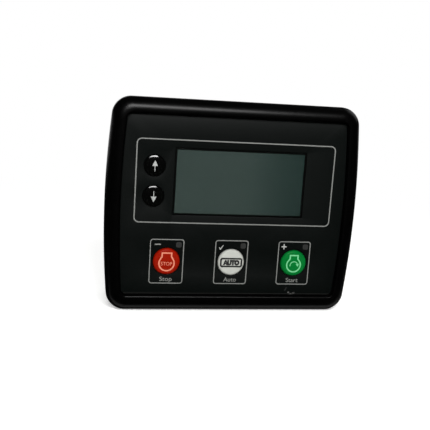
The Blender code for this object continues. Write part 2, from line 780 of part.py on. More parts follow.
def add_vents(bm, front, back):
    for side in (-1, 1):
        for row in range(VENT_COUNT):
            z = (row - (VENT_COUNT - 1) / 2) * VENT_PITCH
            ring = rounded(VENT_LENGTH / 2, VENT_WIDTH / 2, VENT_WIDTH / 2.2, 2, 0, (side * VENT_X, z))
            add_loft(bm, [(front, ring), (back, ring)])


def rear_cover():
    """The back shell: a tray that laps into the front moulding, with pillars for the long screws."""
    shoulder = Y_SPLIT + FIT
    lip_outer = WALL + FIT
    lip_inner = lip_outer + LIP_THICKNESS
    lip_end = Y_SPLIT - LIP_LENGTH
    sections = [
        (Y_BACK - WALL, body_ring(WALL)),
        (shoulder + LIP_ROOT, body_ring(WALL)),
        (shoulder + LIP_ROOT, body_ring(lip_inner)),
        (lip_end, body_ring(lip_inner)),
        (lip_end, body_ring(lip_outer)),
        (shoulder, body_ring(lip_outer)),
        (shoulder, body_ring(0.0)),
    ]
    steps = 3
    for step in range(steps + 1):
        angle = math.radians(90.0 * step / steps)
        inset = BACK_ROUND * (1 - math.cos(angle))
        sections.append((Y_BACK - BACK_ROUND * (1 - math.sin(angle)), body_ring(inset)))
    bm = bmesh.new()
    add_loft(bm, sections)
    cover = new_object("rear_cover", bm, black_plastic())

    pillar_front = Y_POWER_BOARD_BACK + FIT
    sink = SCREW_HEAD_DIAMETER / 2 + FIT
    pillars = bmesh.new()
    for place in screw_places():
        add_disc(pillars, PILLAR_RADIUS, pillar_front, Y_BACK - WALL / 2, place)
    join(cover, pillars, "pillars")

    holes = bmesh.new()
    step = pillar_front + SHOULDER
    bore = SCREW_DIAMETER / 2 + FIT
    for place in screw_places():
        profile = [
            (0.0, pillar_front - OVERSHOOT),
            (bore, pillar_front - OVERSHOOT),
            (bore, step),
            (sink, step),
            (sink, Y_BACK + OVERSHOOT),
            (0.0, Y_BACK + OVERSHOOT),
        ]
        add_turned(holes, profile, place, COARSE)
    front = Y_BACK - WALL - OVERSHOOT
    back = Y_BACK + OVERSHOOT
    for _, ways, x, side in HEADERS:
        width, height = header_size(ways)
        add_block(holes, (width + 2 * OPENING_GAP, height + 2 * OPENING_GAP), front, back, (x, side * ROW_Z))
    usb = (USB_WIDTH + 2 * OPENING_GAP, USB_HEIGHT + 2 * OPENING_GAP)
    add_block(holes, usb, front, back, (USB_X, USB_Z))
    add_vents(holes, front, back)
    slot_front = Y_SPLIT + CLIP_SLOT_FROM_SPLIT
    for sign_x, sign_z in SCREWS:
        slot = (CLIP_SLOT_WIDTH, WALL + 2 * OVERSHOOT)
        at = (sign_x * CLIP_SLOT_X, sign_z * (BODY_Z - WALL / 2))
        add_block(holes, slot, slot_front, slot_front + CLIP_SLOT_LENGTH, at)
    cut(cover, holes)
    return smooth(cover)


def header(name, ways, x, side):
    """A socket for a plug-in terminal block: a shroud with one square pin for each way."""
    front = Y_POWER_BOARD_BACK + FIT
    back = Y_BACK - HEADER_BELOW_BACK
    floor = back - HEADER_DEPTH
    width, height = header_size(ways)
    z = side * ROW_Z
    bm = bmesh.new()
    add_block(bm, (width, height), front, back, (x, z))
    shroud = new_object(name, bm, finish("green socket plastic", (0.02, 0.20, 0.07), 0.4))

    cavity = bmesh.new()
    inner_height = height - 2 * HEADER_WALL
    add_block(cavity, (width - 2 * HEADER_WALL, inner_height), floor, back + OVERSHOOT, (x, z))
    cut(shroud, cavity, "cavity")

    keyways = bmesh.new()
    pins = bmesh.new()
    wall_z = z + side * (inner_height / 2 + KEYWAY_DEPTH / 2 - OVERSHOOT / 4)
    for way in range(ways):
        way_x = x + (way - (ways - 1) / 2) * PITCH
        size = (KEYWAY_WIDTH, KEYWAY_DEPTH + OVERSHOOT / 2)
        add_block(keyways, size, floor + OVERSHOOT, back + OVERSHOOT, (way_x, wall_z))
        add_block(pins, (PIN_SIZE, PIN_SIZE), floor - OVERSHOOT, floor + PIN_LENGTH, (way_x, z - side * PIN_OFFSET))
    cut(shroud, keyways, "keyways")
    join(shroud, pins, "pins")
    return shroud


def usb_socket():
    """The metal shell of the square USB socket, and the insulator inside it."""
    front = Y_POWER_BOARD_BACK + FIT
    back = Y_BACK - HEADER_BELOW_BACK
    floor = back - USB_DEPTH
    at = (USB_X, USB_Z)
    inner = (USB_WIDTH - 2 * USB_SHEET, USB_HEIGHT - 2 * USB_SHEET)
    bm = bmesh.new()
    add_block(bm, (USB_WIDTH, USB_HEIGHT), front, back, at)
    shell = new_object("usb_shell", bm, nickel())
    cavity = bmesh.new()
    add_block(cavity, inner, floor, back + OVERSHOOT, at)
    cut(shell, cavity, "cavity")

    base = (inner[0] - 2 * FIT, inner[1] - 2 * FIT)
    base_front = floor + FIT
    bm = bmesh.new()
    add_block(bm, base, base_front, base_front + TONGUE_BASE, at)
    tongue = new_object("usb_tongue", bm, finish("white socket plastic", (0.8, 0.8, 0.78), 0.4))
    blade = bmesh.new()
    start = base_front + TONGUE_BASE / 2
    add_block(blade, (TONGUE_WIDTH, TONGUE_HEIGHT), start, base_front + TONGUE_BASE + TONGUE_LENGTH, at)
    return join(tongue, blade, "blade")


def chip(name, size, height, at, material, on_front_board):
    """A part on the back of the display board, or on the front of the power board."""
    bm = bmesh.new()
    if on_front_board:
        front = Y_DISPLAY_BOARD_BACK + FIT
        add_block(bm, size, front, front + height, at)
    else:
        back = Y_POWER_BOARD - FIT
        add_block(bm, size, back - height, back, at)
    return new_object(name, bm, material)


def round_part(name, diameter, height, at, material, on_front_board):
    bm = bmesh.new()
    if on_front_board:
        front = Y_DISPLAY_BOARD_BACK + FIT
        add_disc(bm, diameter / 2, front, front + height, at)
    else:
        back = Y_POWER_BOARD - FIT
        add_disc(bm, diameter / 2, back - height, back, at)
    return smooth(new_object(name, bm, material))


def board_parts():
    """The larger parts on the two boards, and the connector between the boards."""
    tall = BOARD_SPACING - PART_HEADROOM
    square = (PROCESSOR_SIZE, PROCESSOR_SIZE)
    at = (PROCESSOR_INSET_X - BOARD_X, BOARD_Z - PROCESSOR_INSET_Z)
    chip("processor_chip", square, PROCESSOR_HEIGHT, at, dark_epoxy(), True)
    at = (BOARD_X - BATTERY_INSET_X, BOARD_Z - BATTERY_INSET_Z)
    round_part("clock_battery", BATTERY_DIAMETER, BATTERY_HEIGHT, at, nickel(), True)
    sleeve = finish("capacitor sleeve", (0.03, 0.03, 0.05), 0.35)
    supply_x = CAPACITOR_INSET_X - BOARD_X
    supply_z = SUPPLY_INSET_Z - BOARD_Z
    for number in (1, 2):
        at = (supply_x + (number - 1) * CAPACITOR_PITCH, supply_z)
        round_part(f"supply_capacitor_{number}", CAPACITOR_DIAMETER, tall, at, sleeve, False)
    ferrite = finish("ferrite", (0.05, 0.05, 0.05), 0.6)
    inductor_x = supply_x + CAPACITOR_PITCH + CAPACITOR_DIAMETER / 2 + INDUCTOR_GAP + INDUCTOR_SIZE / 2
    square = (INDUCTOR_SIZE, INDUCTOR_SIZE)
    chip("supply_inductor", square, INDUCTOR_HEIGHT, (inductor_x, supply_z), ferrite, False)
    relay = finish("relay case", (0.04, 0.12, 0.35), 0.35)
    for number in (1, 2):
        relay_x = RELAY_INSET_X - BOARD_X + (number - 1) * (RELAY_LENGTH + RELAY_GAP)
        at = (relay_x, BOARD_Z - RELAY_INSET_Z)
        chip(f"output_relay_{number}", (RELAY_LENGTH, RELAY_WIDTH), tall, at, relay, False)
    link = finish("connector plastic", (0.03, 0.03, 0.03), 0.45)
    between = BOARD_SPACING - 2 * FIT
    at = (BOARD_X - LINK_INSET_X, LINK_INSET_Z - BOARD_Z)
    chip("board_link", (LINK_LENGTH, LINK_WIDTH), between, at, link, False)


def main():
    clear_scene()
    front_bezel()
    fascia_label()
    panel_gasket()
    display_window()
    lcd_frame()
    lcd_glass()
    lcd_light_guide()
    lcd_contact_strip()
    key_cap("stop", (0.38, 0.012, 0.004))
    key_cap("auto", (0.52, 0.53, 0.49))
    key_cap("start", (0.003, 0.19, 0.025))
    key_cap("up", (0.006, 0.006, 0.006), 0.15)
    key_cap("down", (0.006, 0.006, 0.006), 0.15)
    for name in KEYS:
        tact_switch(name)
    for name in LIGHTS:
        status_light(name)
    board("display_board", Y_DISPLAY_BOARD)
    board("power_board", Y_POWER_BOARD)
    board_spacers()
    board_parts()
    rear_cover()
    case_screws()
    for name, ways, x, side in HEADERS:
        header(name, ways, x, side)
    usb_socket()


main()
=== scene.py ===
"""The looks of an engine controller module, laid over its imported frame.

Lengths are in metres, in the frame's own axes: the front faces -Y, +X is to the right as seen
from the front, and +Z is up. A ring or outline is a list of (x, z) points.
"""

import math

import bmesh
import bpy
from bpy.props import FloatProperty, FloatVectorProperty, PointerProperty
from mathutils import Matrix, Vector


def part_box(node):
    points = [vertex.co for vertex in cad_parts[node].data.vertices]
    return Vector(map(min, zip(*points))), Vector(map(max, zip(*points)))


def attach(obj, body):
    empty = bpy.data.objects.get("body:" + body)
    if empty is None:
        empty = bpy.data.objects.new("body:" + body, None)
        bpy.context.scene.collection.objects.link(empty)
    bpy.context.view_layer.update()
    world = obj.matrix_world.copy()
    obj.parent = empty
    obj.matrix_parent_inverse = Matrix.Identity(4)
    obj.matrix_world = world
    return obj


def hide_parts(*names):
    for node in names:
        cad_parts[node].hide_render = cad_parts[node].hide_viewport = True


bl_info = {
    "name": "Engine controller looks",
    "version": (1, 0, 0),
    "blender": (4, 5, 0),
    "location": "3D View > Sidebar > Controller",
    "description": "Builds the moulded front, keys, display, printing and finishes of an engine controller",
    "category": "Object",
}

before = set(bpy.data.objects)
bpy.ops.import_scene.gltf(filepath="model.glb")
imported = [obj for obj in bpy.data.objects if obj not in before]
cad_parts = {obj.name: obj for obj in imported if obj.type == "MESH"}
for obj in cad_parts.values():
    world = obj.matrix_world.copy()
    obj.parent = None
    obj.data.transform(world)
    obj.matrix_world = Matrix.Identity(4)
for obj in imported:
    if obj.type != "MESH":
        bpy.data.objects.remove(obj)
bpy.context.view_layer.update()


def middle(node):
    """The middle of a node's box, as (x, z)."""
    low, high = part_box(node)
    centre = (low + high) / 2
    return (centre.x, centre.z)


# Places that the frame gives
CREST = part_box("front_bezel")[0].y
HALF_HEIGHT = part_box("front_bezel")[1].z
LABEL_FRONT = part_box("fascia_label")[0].y
LABEL_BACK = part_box("fascia_label")[1].y
LABEL_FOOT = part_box("fascia_label")[0].z
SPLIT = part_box("front_bezel")[1].y
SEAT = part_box("panel_gasket")[1].y
DISPLAY_X, DISPLAY_Z = DISPLAY_AT = middle("display_window")
ROUND_KEYS = ("stop", "auto", "start")
ARROW_KEYS = ("up", "down")

# The front moulding, as the frame's own has it
SIDE_BULGE = 0.00325
HALF_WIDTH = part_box("front_bezel")[1].x - SIDE_BULGE
BULGE_RATIO = SIDE_BULGE / HALF_WIDTH
CORNER_RADIUS = 0.0090
CREST_INSET = 0.0065
CREST_RADIUS = 0.0065
OUTER_ROLL = 0.0068
RIM_WIDTH = 0.0080
RIM_SIDE_LESS = 0.0005
RIM_FOOT_EXTRA = 0.0013
RIM_LIP = 0.0007
INNER_EDGE = 0.5
RECESS_RADIUS = 0.0022
SEAT_CHAMFER = 0.0008
FLANGE_X = 0.0075
FLANGE_Z = 0.0118
GASKET_INSET = 0.0026
GASKET_LAND = 0.0014
GASKET_DEPTH = 0.0015
FIT = 0.0003
WALL = 0.0020
BODY_RADIUS = 0.0030
PLATE = 0.0020
FLOOR = LABEL_BACK + FIT
BODY_X = HALF_WIDTH - FLANGE_X
BODY_Z = HALF_HEIGHT - FLANGE_Z
LABEL_FOOT_GAP = 0.0004
SCREW_X, SCREW_Z = middle("case_screw_2")
SCREWS = [(x, z) for x in (-SCREW_X, SCREW_X) for z in (-SCREW_Z, SCREW_Z)]
SCREW_HOLE_RADIUS = 0.0017
SCREW_HOLE_DEPTH = 0.0059
BOSS_RADIUS = 0.0036
BOSS_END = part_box("display_board")[0].y - FIT

# The window and the status windows
WINDOW_HALF_X = 0.03585
WINDOW_HALF_Z = 0.0180
WINDOW_RADIUS = 0.0004
LENS_FLANGE = 0.0009
PIPE_SIZE = 0.0033
PIPE_CORNER = 0.0002
STATUS_LESS = 0.00015
STATUS_CORNER = 0.0009

# The keys' round bodies behind the label, and the arrow keys' domes
KEY_LIP = 0.0007
KEY_LIP_THICKNESS = 0.0010
KEY_STEM_RADIUS = 0.0025
ARROW_CROWN = 0.0009
CROWN_CURVE = 1.6

# Printing on the label. Places are from the middle of their key, and the display line's from the part's
DISPLAY_LINE = {"half_x": 0.05374, "half_z": 0.02212, "radius": 0.0025, "at": (0.0, 0.01408), "steps": 12}
KEY_LINE = {"half_x": 0.00896, "half_z": 0.0121, "radius": 0.0013, "steps": 10}
KEY_LINE_DROP = 0.00008
KEY_LINE_SHARE = 0.85
CAPTION_DROP = 0.0110
CAPTION_HEIGHT = 0.0024
CAPTION_WIDTHS = {"stop": 0.0067, "auto": 0.0070, "start": 0.0068}
MINUS = {"half_x": 0.0016, "half_z": 0.00034, "radius": 0.0001, "steps": 2}
MINUS_AT = (-0.0051, 0.0093)
TICK = ((-0.0071, 0.0082), (-0.0067, 0.0083), (-0.0063, 0.0075), (-0.0049, 0.0095), (-0.0046, 0.0093),
        (-0.0062, 0.0068), (-0.0065, 0.0068))
PLUS_ARM = ((0.00148, 0.00022), (0.0010, 0.00029), (0.00032, 0.00032), (0.00029, 0.0010), (0.00022, 0.00148))
PLUS_AT = (-0.0060, 0.0092)

# Signs on the keys, from the key's middle
KEY_INKS = {"stop": (0.62, 0.19, 0.11), "auto": (0.003, 0.003, 0.003), "start": (0.12, 0.49, 0.21)}
KEY_WORDS = {
    "stop": {"words": "STOP", "drop": 0.0021, "height": 0.0020, "width": 0.0061},
    "auto": {"words": "AUTO", "drop": 0.0012, "height": 0.0024, "width": 0.0092, "weight": 0.11},
}
STOP_ENGINE = {"radius": 0.00448, "neck": 0.00293, "top": 0.00518, "shoulder": 0.0028}
START_ENGINE = {"radius": 0.00430, "neck": 0.0026, "top": 0.0049, "shoulder": 0.0026}
ENGINE_DROP = 0.00088
ENGINE_OPENING = (27, -207)  # Where the ring starts and ends, in degrees
SWING = {"radius": 0.0022, "start": 190, "end": 28, "count": 24}
SWING_AT = (0.0002, -0.0012)
SWING_SHARE = 0.65
SWING_HEAD = ((0.0023, -0.0008), 0.0011, -75)  # Place, size and way in degrees
AUTO_LOOP = {"half_x": 0.0057, "half_z": 0.0022, "radius": 0.0008, "steps": 6}
AUTO_LINE = 0.00090
AUTO_HEAD = 0.0008
AUTO_HEADS = (((0.0050, 0.0022), 0), ((0.0057, -0.0016), -90),
              ((-0.0050, -0.0022), 180), ((-0.0057, 0.0016), 90))
ARROW = ((0.0, 0.0030), (-0.0015, 0.0), (-0.00017, 0.0), (-0.00017, -0.0029), (0.00017, -0.0029),
         (0.00017, 0.0), (0.0015, 0.0))

# The height of a capital in a font of size 1
CAPITAL = 0.70

# Steps on curved edges, and the angles from which an edge is sharp or softened
TURN = 96
BOSS_TURN = 48
HOLE_TURN = 32
CORNER = 16
SIDE = 24
LIP_STEPS = 14
ROLL_STEPS = 20
FILM_STEPS = 3
CAP_STEPS = 8
DOME_STEPS = 24
ENGINE_STEPS = 64
SOFT_STEPS = 2
SHARP = math.radians(32)
SOFT_ANGLE = math.radians(35)

# Distances that only the making of the meshes needs
CUT_PAST = 0.001
WELD = 1e-6
SAME_POINT = 1e-8
SKIN = 0.00005
COVER_CHAMFER = 0.0001
SMALL_EDGE = 0.00012
MITRE_LIMIT = 0.4

# The sockets of a Mix node that mixes colours
SHARE, FIRST, SECOND, MIXED = 0, 6, 7, 2
WHITE = (1.0, 1.0, 1.0, 1.0)


class CaseSettings(bpy.types.PropertyGroup):
    """The moulded case."""

    # The rear colour is a paler, painted lit copy of the same black plastic as the darker front colour, so
    # that the back shows as if lit.
    rear_lit_colour: FloatVectorProperty(
        name="Rear colour", description="Colour of the moulded plastic behind the panel",
        subtype="COLOR", default=(0.014, 0.014, 0.0145), min=0.0, max=1.0)
    colour: FloatVectorProperty(
        name="Case colour", description="Colour of the moulded plastic in front of the panel",
        subtype="COLOR", default=(0.0003, 0.0003, 0.0003), min=0.0, max=1.0)
    roughness: FloatProperty(
        name="Roughness", description="How matt the eroded surface is",
        subtype="FACTOR", default=0.29, min=0.0, max=1.0)
    sheen: FloatProperty(
        name="Gloss", description="How strongly the plastic mirrors at its brightest",
        subtype="FACTOR", default=0.12, min=0.0, max=1.0)
    grain: FloatProperty(
        name="Grain size", description="Size of the eroded texture's grains", default=0.00028, unit="LENGTH")
    grain_depth: FloatProperty(
        name="Grain depth", description="Depth of the eroded texture", default=0.000012, unit="LENGTH")


class LabelSettings(bpy.types.PropertyGroup):
    """The printed label."""

    colour: FloatVectorProperty(
        name="Label colour", description="Colour of the label's film",
        subtype="COLOR", default=(0.0010, 0.0020, 0.0016), min=0.0, max=1.0)
    line_colour: FloatVectorProperty(
        name="Line colour", description="Colour of the frames round the display and the keys",
        subtype="COLOR", default=(0.165, 0.17, 0.16), min=0.0, max=1.0)
    sign_colour: FloatVectorProperty(
        name="Sign colour", description="Colour of the tick and the plus sign",
        subtype="COLOR", default=(0.34, 0.35, 0.33), min=0.0, max=1.0)
    caption_colour: FloatVectorProperty(
        name="Caption colour", description="Colour of the words under the keys and of the minus sign",
        subtype="COLOR", default=(0.19, 0.195, 0.18), min=0.0, max=1.0)
    line_width: FloatProperty(
        name="Line width", description="Width of the frames' lines", default=0.00060, unit="LENGTH")
    ink: FloatProperty(
        name="Ink thickness", description="How far the printing stands out", default=0.00002, unit="LENGTH")
    edge: FloatProperty(
        name="Edge radius", description="Radius of the film's cut edges", default=0.00012, unit="LENGTH")


class KeySettings(bpy.types.PropertyGroup):
    """The five keys."""

    stop_colour: FloatVectorProperty(
        name="Stop", description="Colour of the stop key",
        subtype="COLOR", default=(0.205, 0.0052, 0.0003), min=0.0, max=1.0)
    auto_colour: FloatVectorProperty(
        name="Auto", description="Colour of the auto key",
        subtype="COLOR", default=(0.36, 0.37, 0.34), min=0.0, max=1.0)
    start_colour: FloatVectorProperty(
        name="Start", description="Colour of the start key",
        subtype="COLOR", default=(0.0003, 0.117, 0.0180), min=0.0, max=1.0)
    arrow_colour: FloatVectorProperty(
        name="Arrow keys", description="Colour of the two arrow keys",
        subtype="COLOR", default=(0.0008, 0.0009, 0.0008), min=0.0, max=1.0)
    edge: FloatProperty(
        name="Edge radius", description="Radius of the round keys' rolled edge",
        default=0.0014, unit="LENGTH")
    sign_line: FloatProperty(
        name="Sign line", description="Width of the engine signs' lines", default=0.00076, unit="LENGTH")


class DisplaySettings(bpy.types.PropertyGroup):
    """The display and the status windows."""

    # The display is one grey-green: the left colour is its lit side, and the right colour is a painted shade
    # of it.
    lit_left_colour: FloatVectorProperty(
        name="Display colour", description="Colour of the resting display at its left",
        subtype="COLOR", default=(0.0315, 0.048, 0.0425), min=0.0, max=1.0)
    shaded_right_colour: FloatVectorProperty(
        name="Display colour, right", description="Colour of the resting display at its right",
        subtype="COLOR", default=(0.0128, 0.0262, 0.0228), min=0.0, max=1.0)
    border: FloatProperty(
        name="Border", description="Width of the display's dark border", default=0.0011, unit="LENGTH")
    dot_pitch: FloatProperty(
        name="Dot pitch", description="Pitch of the display's dots", default=0.00054, unit="LENGTH")
    cover: FloatProperty(
        name="Cover thickness", description="Thickness of the clear cover", default=0.0004, unit="LENGTH")
    status_colour: FloatVectorProperty(
        name="Status windows", description="Colour of the clear patches in the label over the light pipes",
        subtype="COLOR", default=(0.016, 0.0168, 0.0155), min=0.0, max=1.0)


class BackSettings(bpy.types.PropertyGroup):
    """The rear cover and the sockets."""

    socket_colour: FloatVectorProperty(
        name="Sockets", description="Colour of the terminal sockets",
        subtype="COLOR", default=(0.015, 0.17, 0.06), min=0.0, max=1.0)
    edge: FloatProperty(
        name="Edge radius", description="Radius of the moulded edges", default=0.0002, unit="LENGTH")
    cover_roughness: FloatProperty(
        name="Cover roughness", description="How matt the rear cover is",
        subtype="FACTOR", default=0.52, min=0.0, max=1.0)


class StageSettings(bpy.types.PropertyGroup):
    """The camera, the lamps and the room."""

    camera_place: FloatVectorProperty(
        name="Camera place", description="Where the camera stands",
        subtype="TRANSLATION", default=(-0.08574, -0.40058, 0.07528))
    camera_turn: FloatVectorProperty(
        name="Camera turn", description="How the camera is turned", subtype="EULER",
        default=(math.radians(78.5604), math.radians(-3.6639), math.radians(-10.4160)))
    lens: FloatProperty(
        name="Lens", description="Focal length in millimetres on a 36 mm sensor", default=61.91)
    key_power: FloatProperty(
        name="Key lamp", description="Power of the soft lamp at the upper left", default=9.2, unit="POWER")
    fill_power: FloatProperty(
        name="Fill lamp", description="Power of the soft lamp behind at the right", default=1.2, unit="POWER")
    room: FloatProperty(
        name="Room light", description="Strength of the light that comes from all round", default=0.33)
    back_room: FloatProperty(
        name="Light from behind", description="Strength of the diffuse light from behind", default=0.45)
    dim: FloatProperty(
        name="Dim side", description="How bright the room behind the camera looks in gloss", default=0.02)


PARTS = {
    "case": CaseSettings,
    "label": LabelSettings,
    "keys": KeySettings,
    "display": DisplaySettings,
    "back": BackSettings,
    "stage": StageSettings,
}


class ControllerSettings(bpy.types.PropertyGroup):
    """All the sizes and colours that can be changed."""

    case: PointerProperty(type=CaseSettings)
    label: PointerProperty(type=LabelSettings)
    keys: PointerProperty(type=KeySettings)
    display: PointerProperty(type=DisplaySettings)
    back: PointerProperty(type=BackSettings)
    stage: PointerProperty(type=StageSettings)


class Value:
    """A socket of a node tree, for use in plain arithmetic."""

    def __init__(self, graph, socket):
        self.graph = graph
        self.socket = socket

    def math(self, operation, *values):
        return self.graph.node("ShaderNodeMath", {"operation": operation}, dict(enumerate(values)))

    def __add__(self, other):
        return self.math("ADD", self, other)

    def __sub__(self, other):
        return self.math("SUBTRACT", self, other)

    def __rsub__(self, other):
        return self.math("SUBTRACT", other, self)

    def __mul__(self, other):
        return self.math("MULTIPLY", self, other)

    def __pow__(self, other):
        return self.math("POWER", self, other)

    def __abs__(self):
        return self.math("ABSOLUTE", self)

    __radd__ = __add__
    __rmul__ = __mul__

    def greater(self, other):
        return self.math("MAXIMUM", self, other)

    def wave(self):
        return self.math("SINE", self)

    def sway(self, reach):
        """Noise turned into a swing of this reach about 0."""
        return reach * (self - 0.5)

    def ramp(self, start, end):
        """0 before start, 1 after end, and a soft step between them."""
        settings = {"interpolation_type": "SMOOTHSTEP"}
        sockets = {"Value": self, "From Min": start, "From Max": end}
        return self.graph.node("ShaderNodeMapRange", settings, sockets)


class Graph:
    """A node tree that is built from its own calls."""

    def __init__(self, tree):
        self.tree = tree
        tree.nodes.clear()

    def node(self, kind, settings=None, sockets=None, output=0):
        """Add a node: its settings first, then its sockets. Several outputs are named in a tuple."""
        made = self.tree.nodes.new(kind)
        for name, value in (settings or {}).items():
            setattr(made, name, value)
        for name, value in (sockets or {}).items():
            if isinstance(value, Value):
                self.tree.links.new(value.socket, made.inputs[name])
            else:
                made.inputs[name].default_value = value
        if isinstance(output, tuple):
            return [Value(self, made.outputs[name]) for name in output]
        return Value(self, made.outputs[output]) if made.outputs else made

    def mix(self, share, first, second):
        """The first colour where share is 0, and the second where it is 1."""
        first, second = (c if isinstance(c, Value) else (*c, 1.0) for c in (first, second))
        sockets = {SHARE: share, FIRST: first, SECOND: second}
        return self.node("ShaderNodeMix", {"data_type": "RGBA"}, sockets, MIXED)

    def shades(self, share, colour, dark, pale):
        """A colour that goes from a darker to a paler shade of itself."""
        return self.mix(share, [dark * c for c in colour], [pale * c for c in colour])

    def axes(self, vector):
        return self.node("ShaderNodeSeparateXYZ", {}, {"Vector": vector}, ("X", "Y", "Z"))

    def rays(self):
        """Where the camera sees something itself, and where it sees it in gloss or through glass."""
        names = ("Is Camera Ray", "Is Glossy Ray", "Is Transmission Ray")
        shown, glossy, through = self.node("ShaderNodeLightPath", output=names)
        return shown, glossy.greater(through)


class Finish(Graph):
    """A material whose Principled shader takes its pattern from the place on the part."""

    def __init__(self, name):
        self.material = bpy.data.materials.new(name)
        self.material.use_nodes = True
        super().__init__(self.material.node_tree)
        self.place = self.node("ShaderNodeTexCoord", output="Object")

    def noise(self, size, detail=2.0, stretch=None):
        """Noise from 0 to 1 with features of about this size, or stretched along the axes."""
        place = self.place
        if stretch:
            place = self.node("ShaderNodeVectorMath", {"operation": "MULTIPLY"}, {0: place, 1: stretch})
        return self.node("ShaderNodeTexNoise", {}, {"Vector": place, "Scale": 1.0 / size, "Detail": detail})

    def bump(self, height, depth, below=None):
        sockets = {"Height": height, "Distance": depth, "Strength": 1.0}
        if below:
            sockets["Normal"] = below
        return self.node("ShaderNodeBump", {}, sockets)

    def shade(self, **sockets):
        """Close the material with these sockets on its shader, named in small letters."""
        named = {}
        for name, value in sockets.items():
            named[name.replace("_", " ").title().replace("Ior", "IOR")] = value
        shader = self.node("ShaderNodeBsdfPrincipled", {}, named)
        self.node("ShaderNodeOutputMaterial", {}, {"Surface": shader})
        return self.material


def moulded(name, colour, roughness, grain, depth, specular=0.5, behind=None):
    """Moulded plastic with an eroded grain, which may have another colour behind the panel: there a paler,
    painted lit copy of the same plastic.
    """
    made = Finish(name)
    broad = made.noise(0.021, 3.0)
    fine = made.noise(grain, 3.0)
    pits = made.noise(grain * 2.7, 1.0)
    base = made.shades(broad.ramp(0.35, 0.68), colour, 0.82, 1.20)
    # Painted light: behind the panel seat the plastic turns to its paler lit copy.
    if behind:
        blend = 0.0004
        _, y, _ = made.axes(made.place)
        base = made.mix((y - SEAT).ramp(-blend, blend), base, behind)
    return made.shade(
        base_color=base,
        roughness=roughness + fine.sway(0.07) + broad.sway(0.06),
        specular_ior_level=specular,
        normal=made.bump(fine * 0.7 + pits * 0.3, depth),
    )


def glossy_plastic(name, colour, roughness, specular=0.5):
    """Smooth moulded plastic with a faint ripple and a few fine marks."""
    made = Finish(name)
    ripple = made.noise(0.0045)
    speck = made.noise(0.0002)
    return made.shade(
        base_color=made.shades(ripple, colour, 0.92, 1.08),
        roughness=roughness + ripple.sway(0.10) + speck.sway(0.05),
        specular_ior_level=specular,
        normal=made.bump(speck, 0.000003, made.bump(ripple, 0.00002)),
    )


def bare_metal(name, colour, roughness, grain_along=(1.0, 1.0, 1.0)):
    """Plated or rolled metal, with a grain that is stretched along its rolling."""
    made = Finish(name)
    grain = made.noise(0.0004, 3.0, grain_along)
    cloud = made.noise(0.006)
    return made.shade(
        base_color=made.shades(cloud, colour, 0.86, 1.0),
        metallic=1.0,
        roughness=roughness + grain.sway(0.14) + cloud.sway(0.08),
        normal=made.bump(grain, 0.000004),
    )


def scuff(made, x, z):
    """The scuff under the start key: the lower part of a ring, a dot and a faint hair line."""
    ring_x, ring_z, ring_radius = 0.0357, -0.0456, 0.00165
    dot_left, dot_down, dot_area = 0.0017, 0.0007, 0.0000003
    hair_x, hair_z, hair_cos, hair_sin, hair_share = 0.0323, -0.0444, 0.926, 0.378, 0.25
    wear = made.noise(0.0007, 4.0).ramp(0.44, 0.58)
    across, up = x - ring_x, z - ring_z
    ring = 1.0 - abs((across * across + up * up) ** 0.5 - ring_radius).ramp(0.00015, 0.00060)
    lower = (0.0 - up).ramp(0.0003, 0.0009)
    dot = 1.0 - ((across + dot_left) ** 2 + (up + dot_down) ** 2).ramp(0.0, dot_area)
    across, up = x - hair_x, z - hair_z
    side = abs(across * hair_cos - up * hair_sin).ramp(0.00006, 0.00022)
    along = abs(across * hair_sin + up * hair_cos).ramp(0.0009, 0.0013)
    hair = (1.0 - side) * (1.0 - along)
    return (ring * lower * wear).greater(dot).greater(hair * hair_share)


def label_film(looks):
    """Textured polyester film with a painted highlight along its cut foot, and the scuff of the photographed
    label.
    """
    made = Finish("satin label film")
    x, _, z = made.axes(made.place)
    grain = made.noise(0.00016)
    pebble = made.noise(0.00045)
    cloud = made.noise(0.018, 3.0)
    worn = scuff(made, x, z)
    # Painted highlight: a pale band along the film's foot.
    foot = 1.0 - (z - LABEL_FOOT).ramp(0.0002, 0.0007)
    film_with_foot_highlight = made.mix(foot, made.shades(cloud, looks.colour, 0.88, 1.12), (0.012, 0.012, 0.0115))
    return made.shade(
        base_color=made.mix(worn * 0.6, film_with_foot_highlight, (0.22, 0.22, 0.21)),
        roughness=0.48 + pebble.sway(0.08) + cloud.sway(0.05) + 0.15 * worn,
        specular_ior_level=0.145,
        normal=made.bump(grain * 0.4 + pebble * 0.6, 0.000008),
    )


def ink(name, colour):
    """Screen printed ink, a little uneven where the film's texture shows through."""
    made = Finish(name)
    cover = made.noise(0.00035, 3.0)
    return made.shade(
        base_color=made.shades(cover.ramp(0.3, 0.8), colour, 0.84, 1.05),
        roughness=0.5 + cover.sway(0.10),
        normal=made.bump(cover, 0.000004),
    )


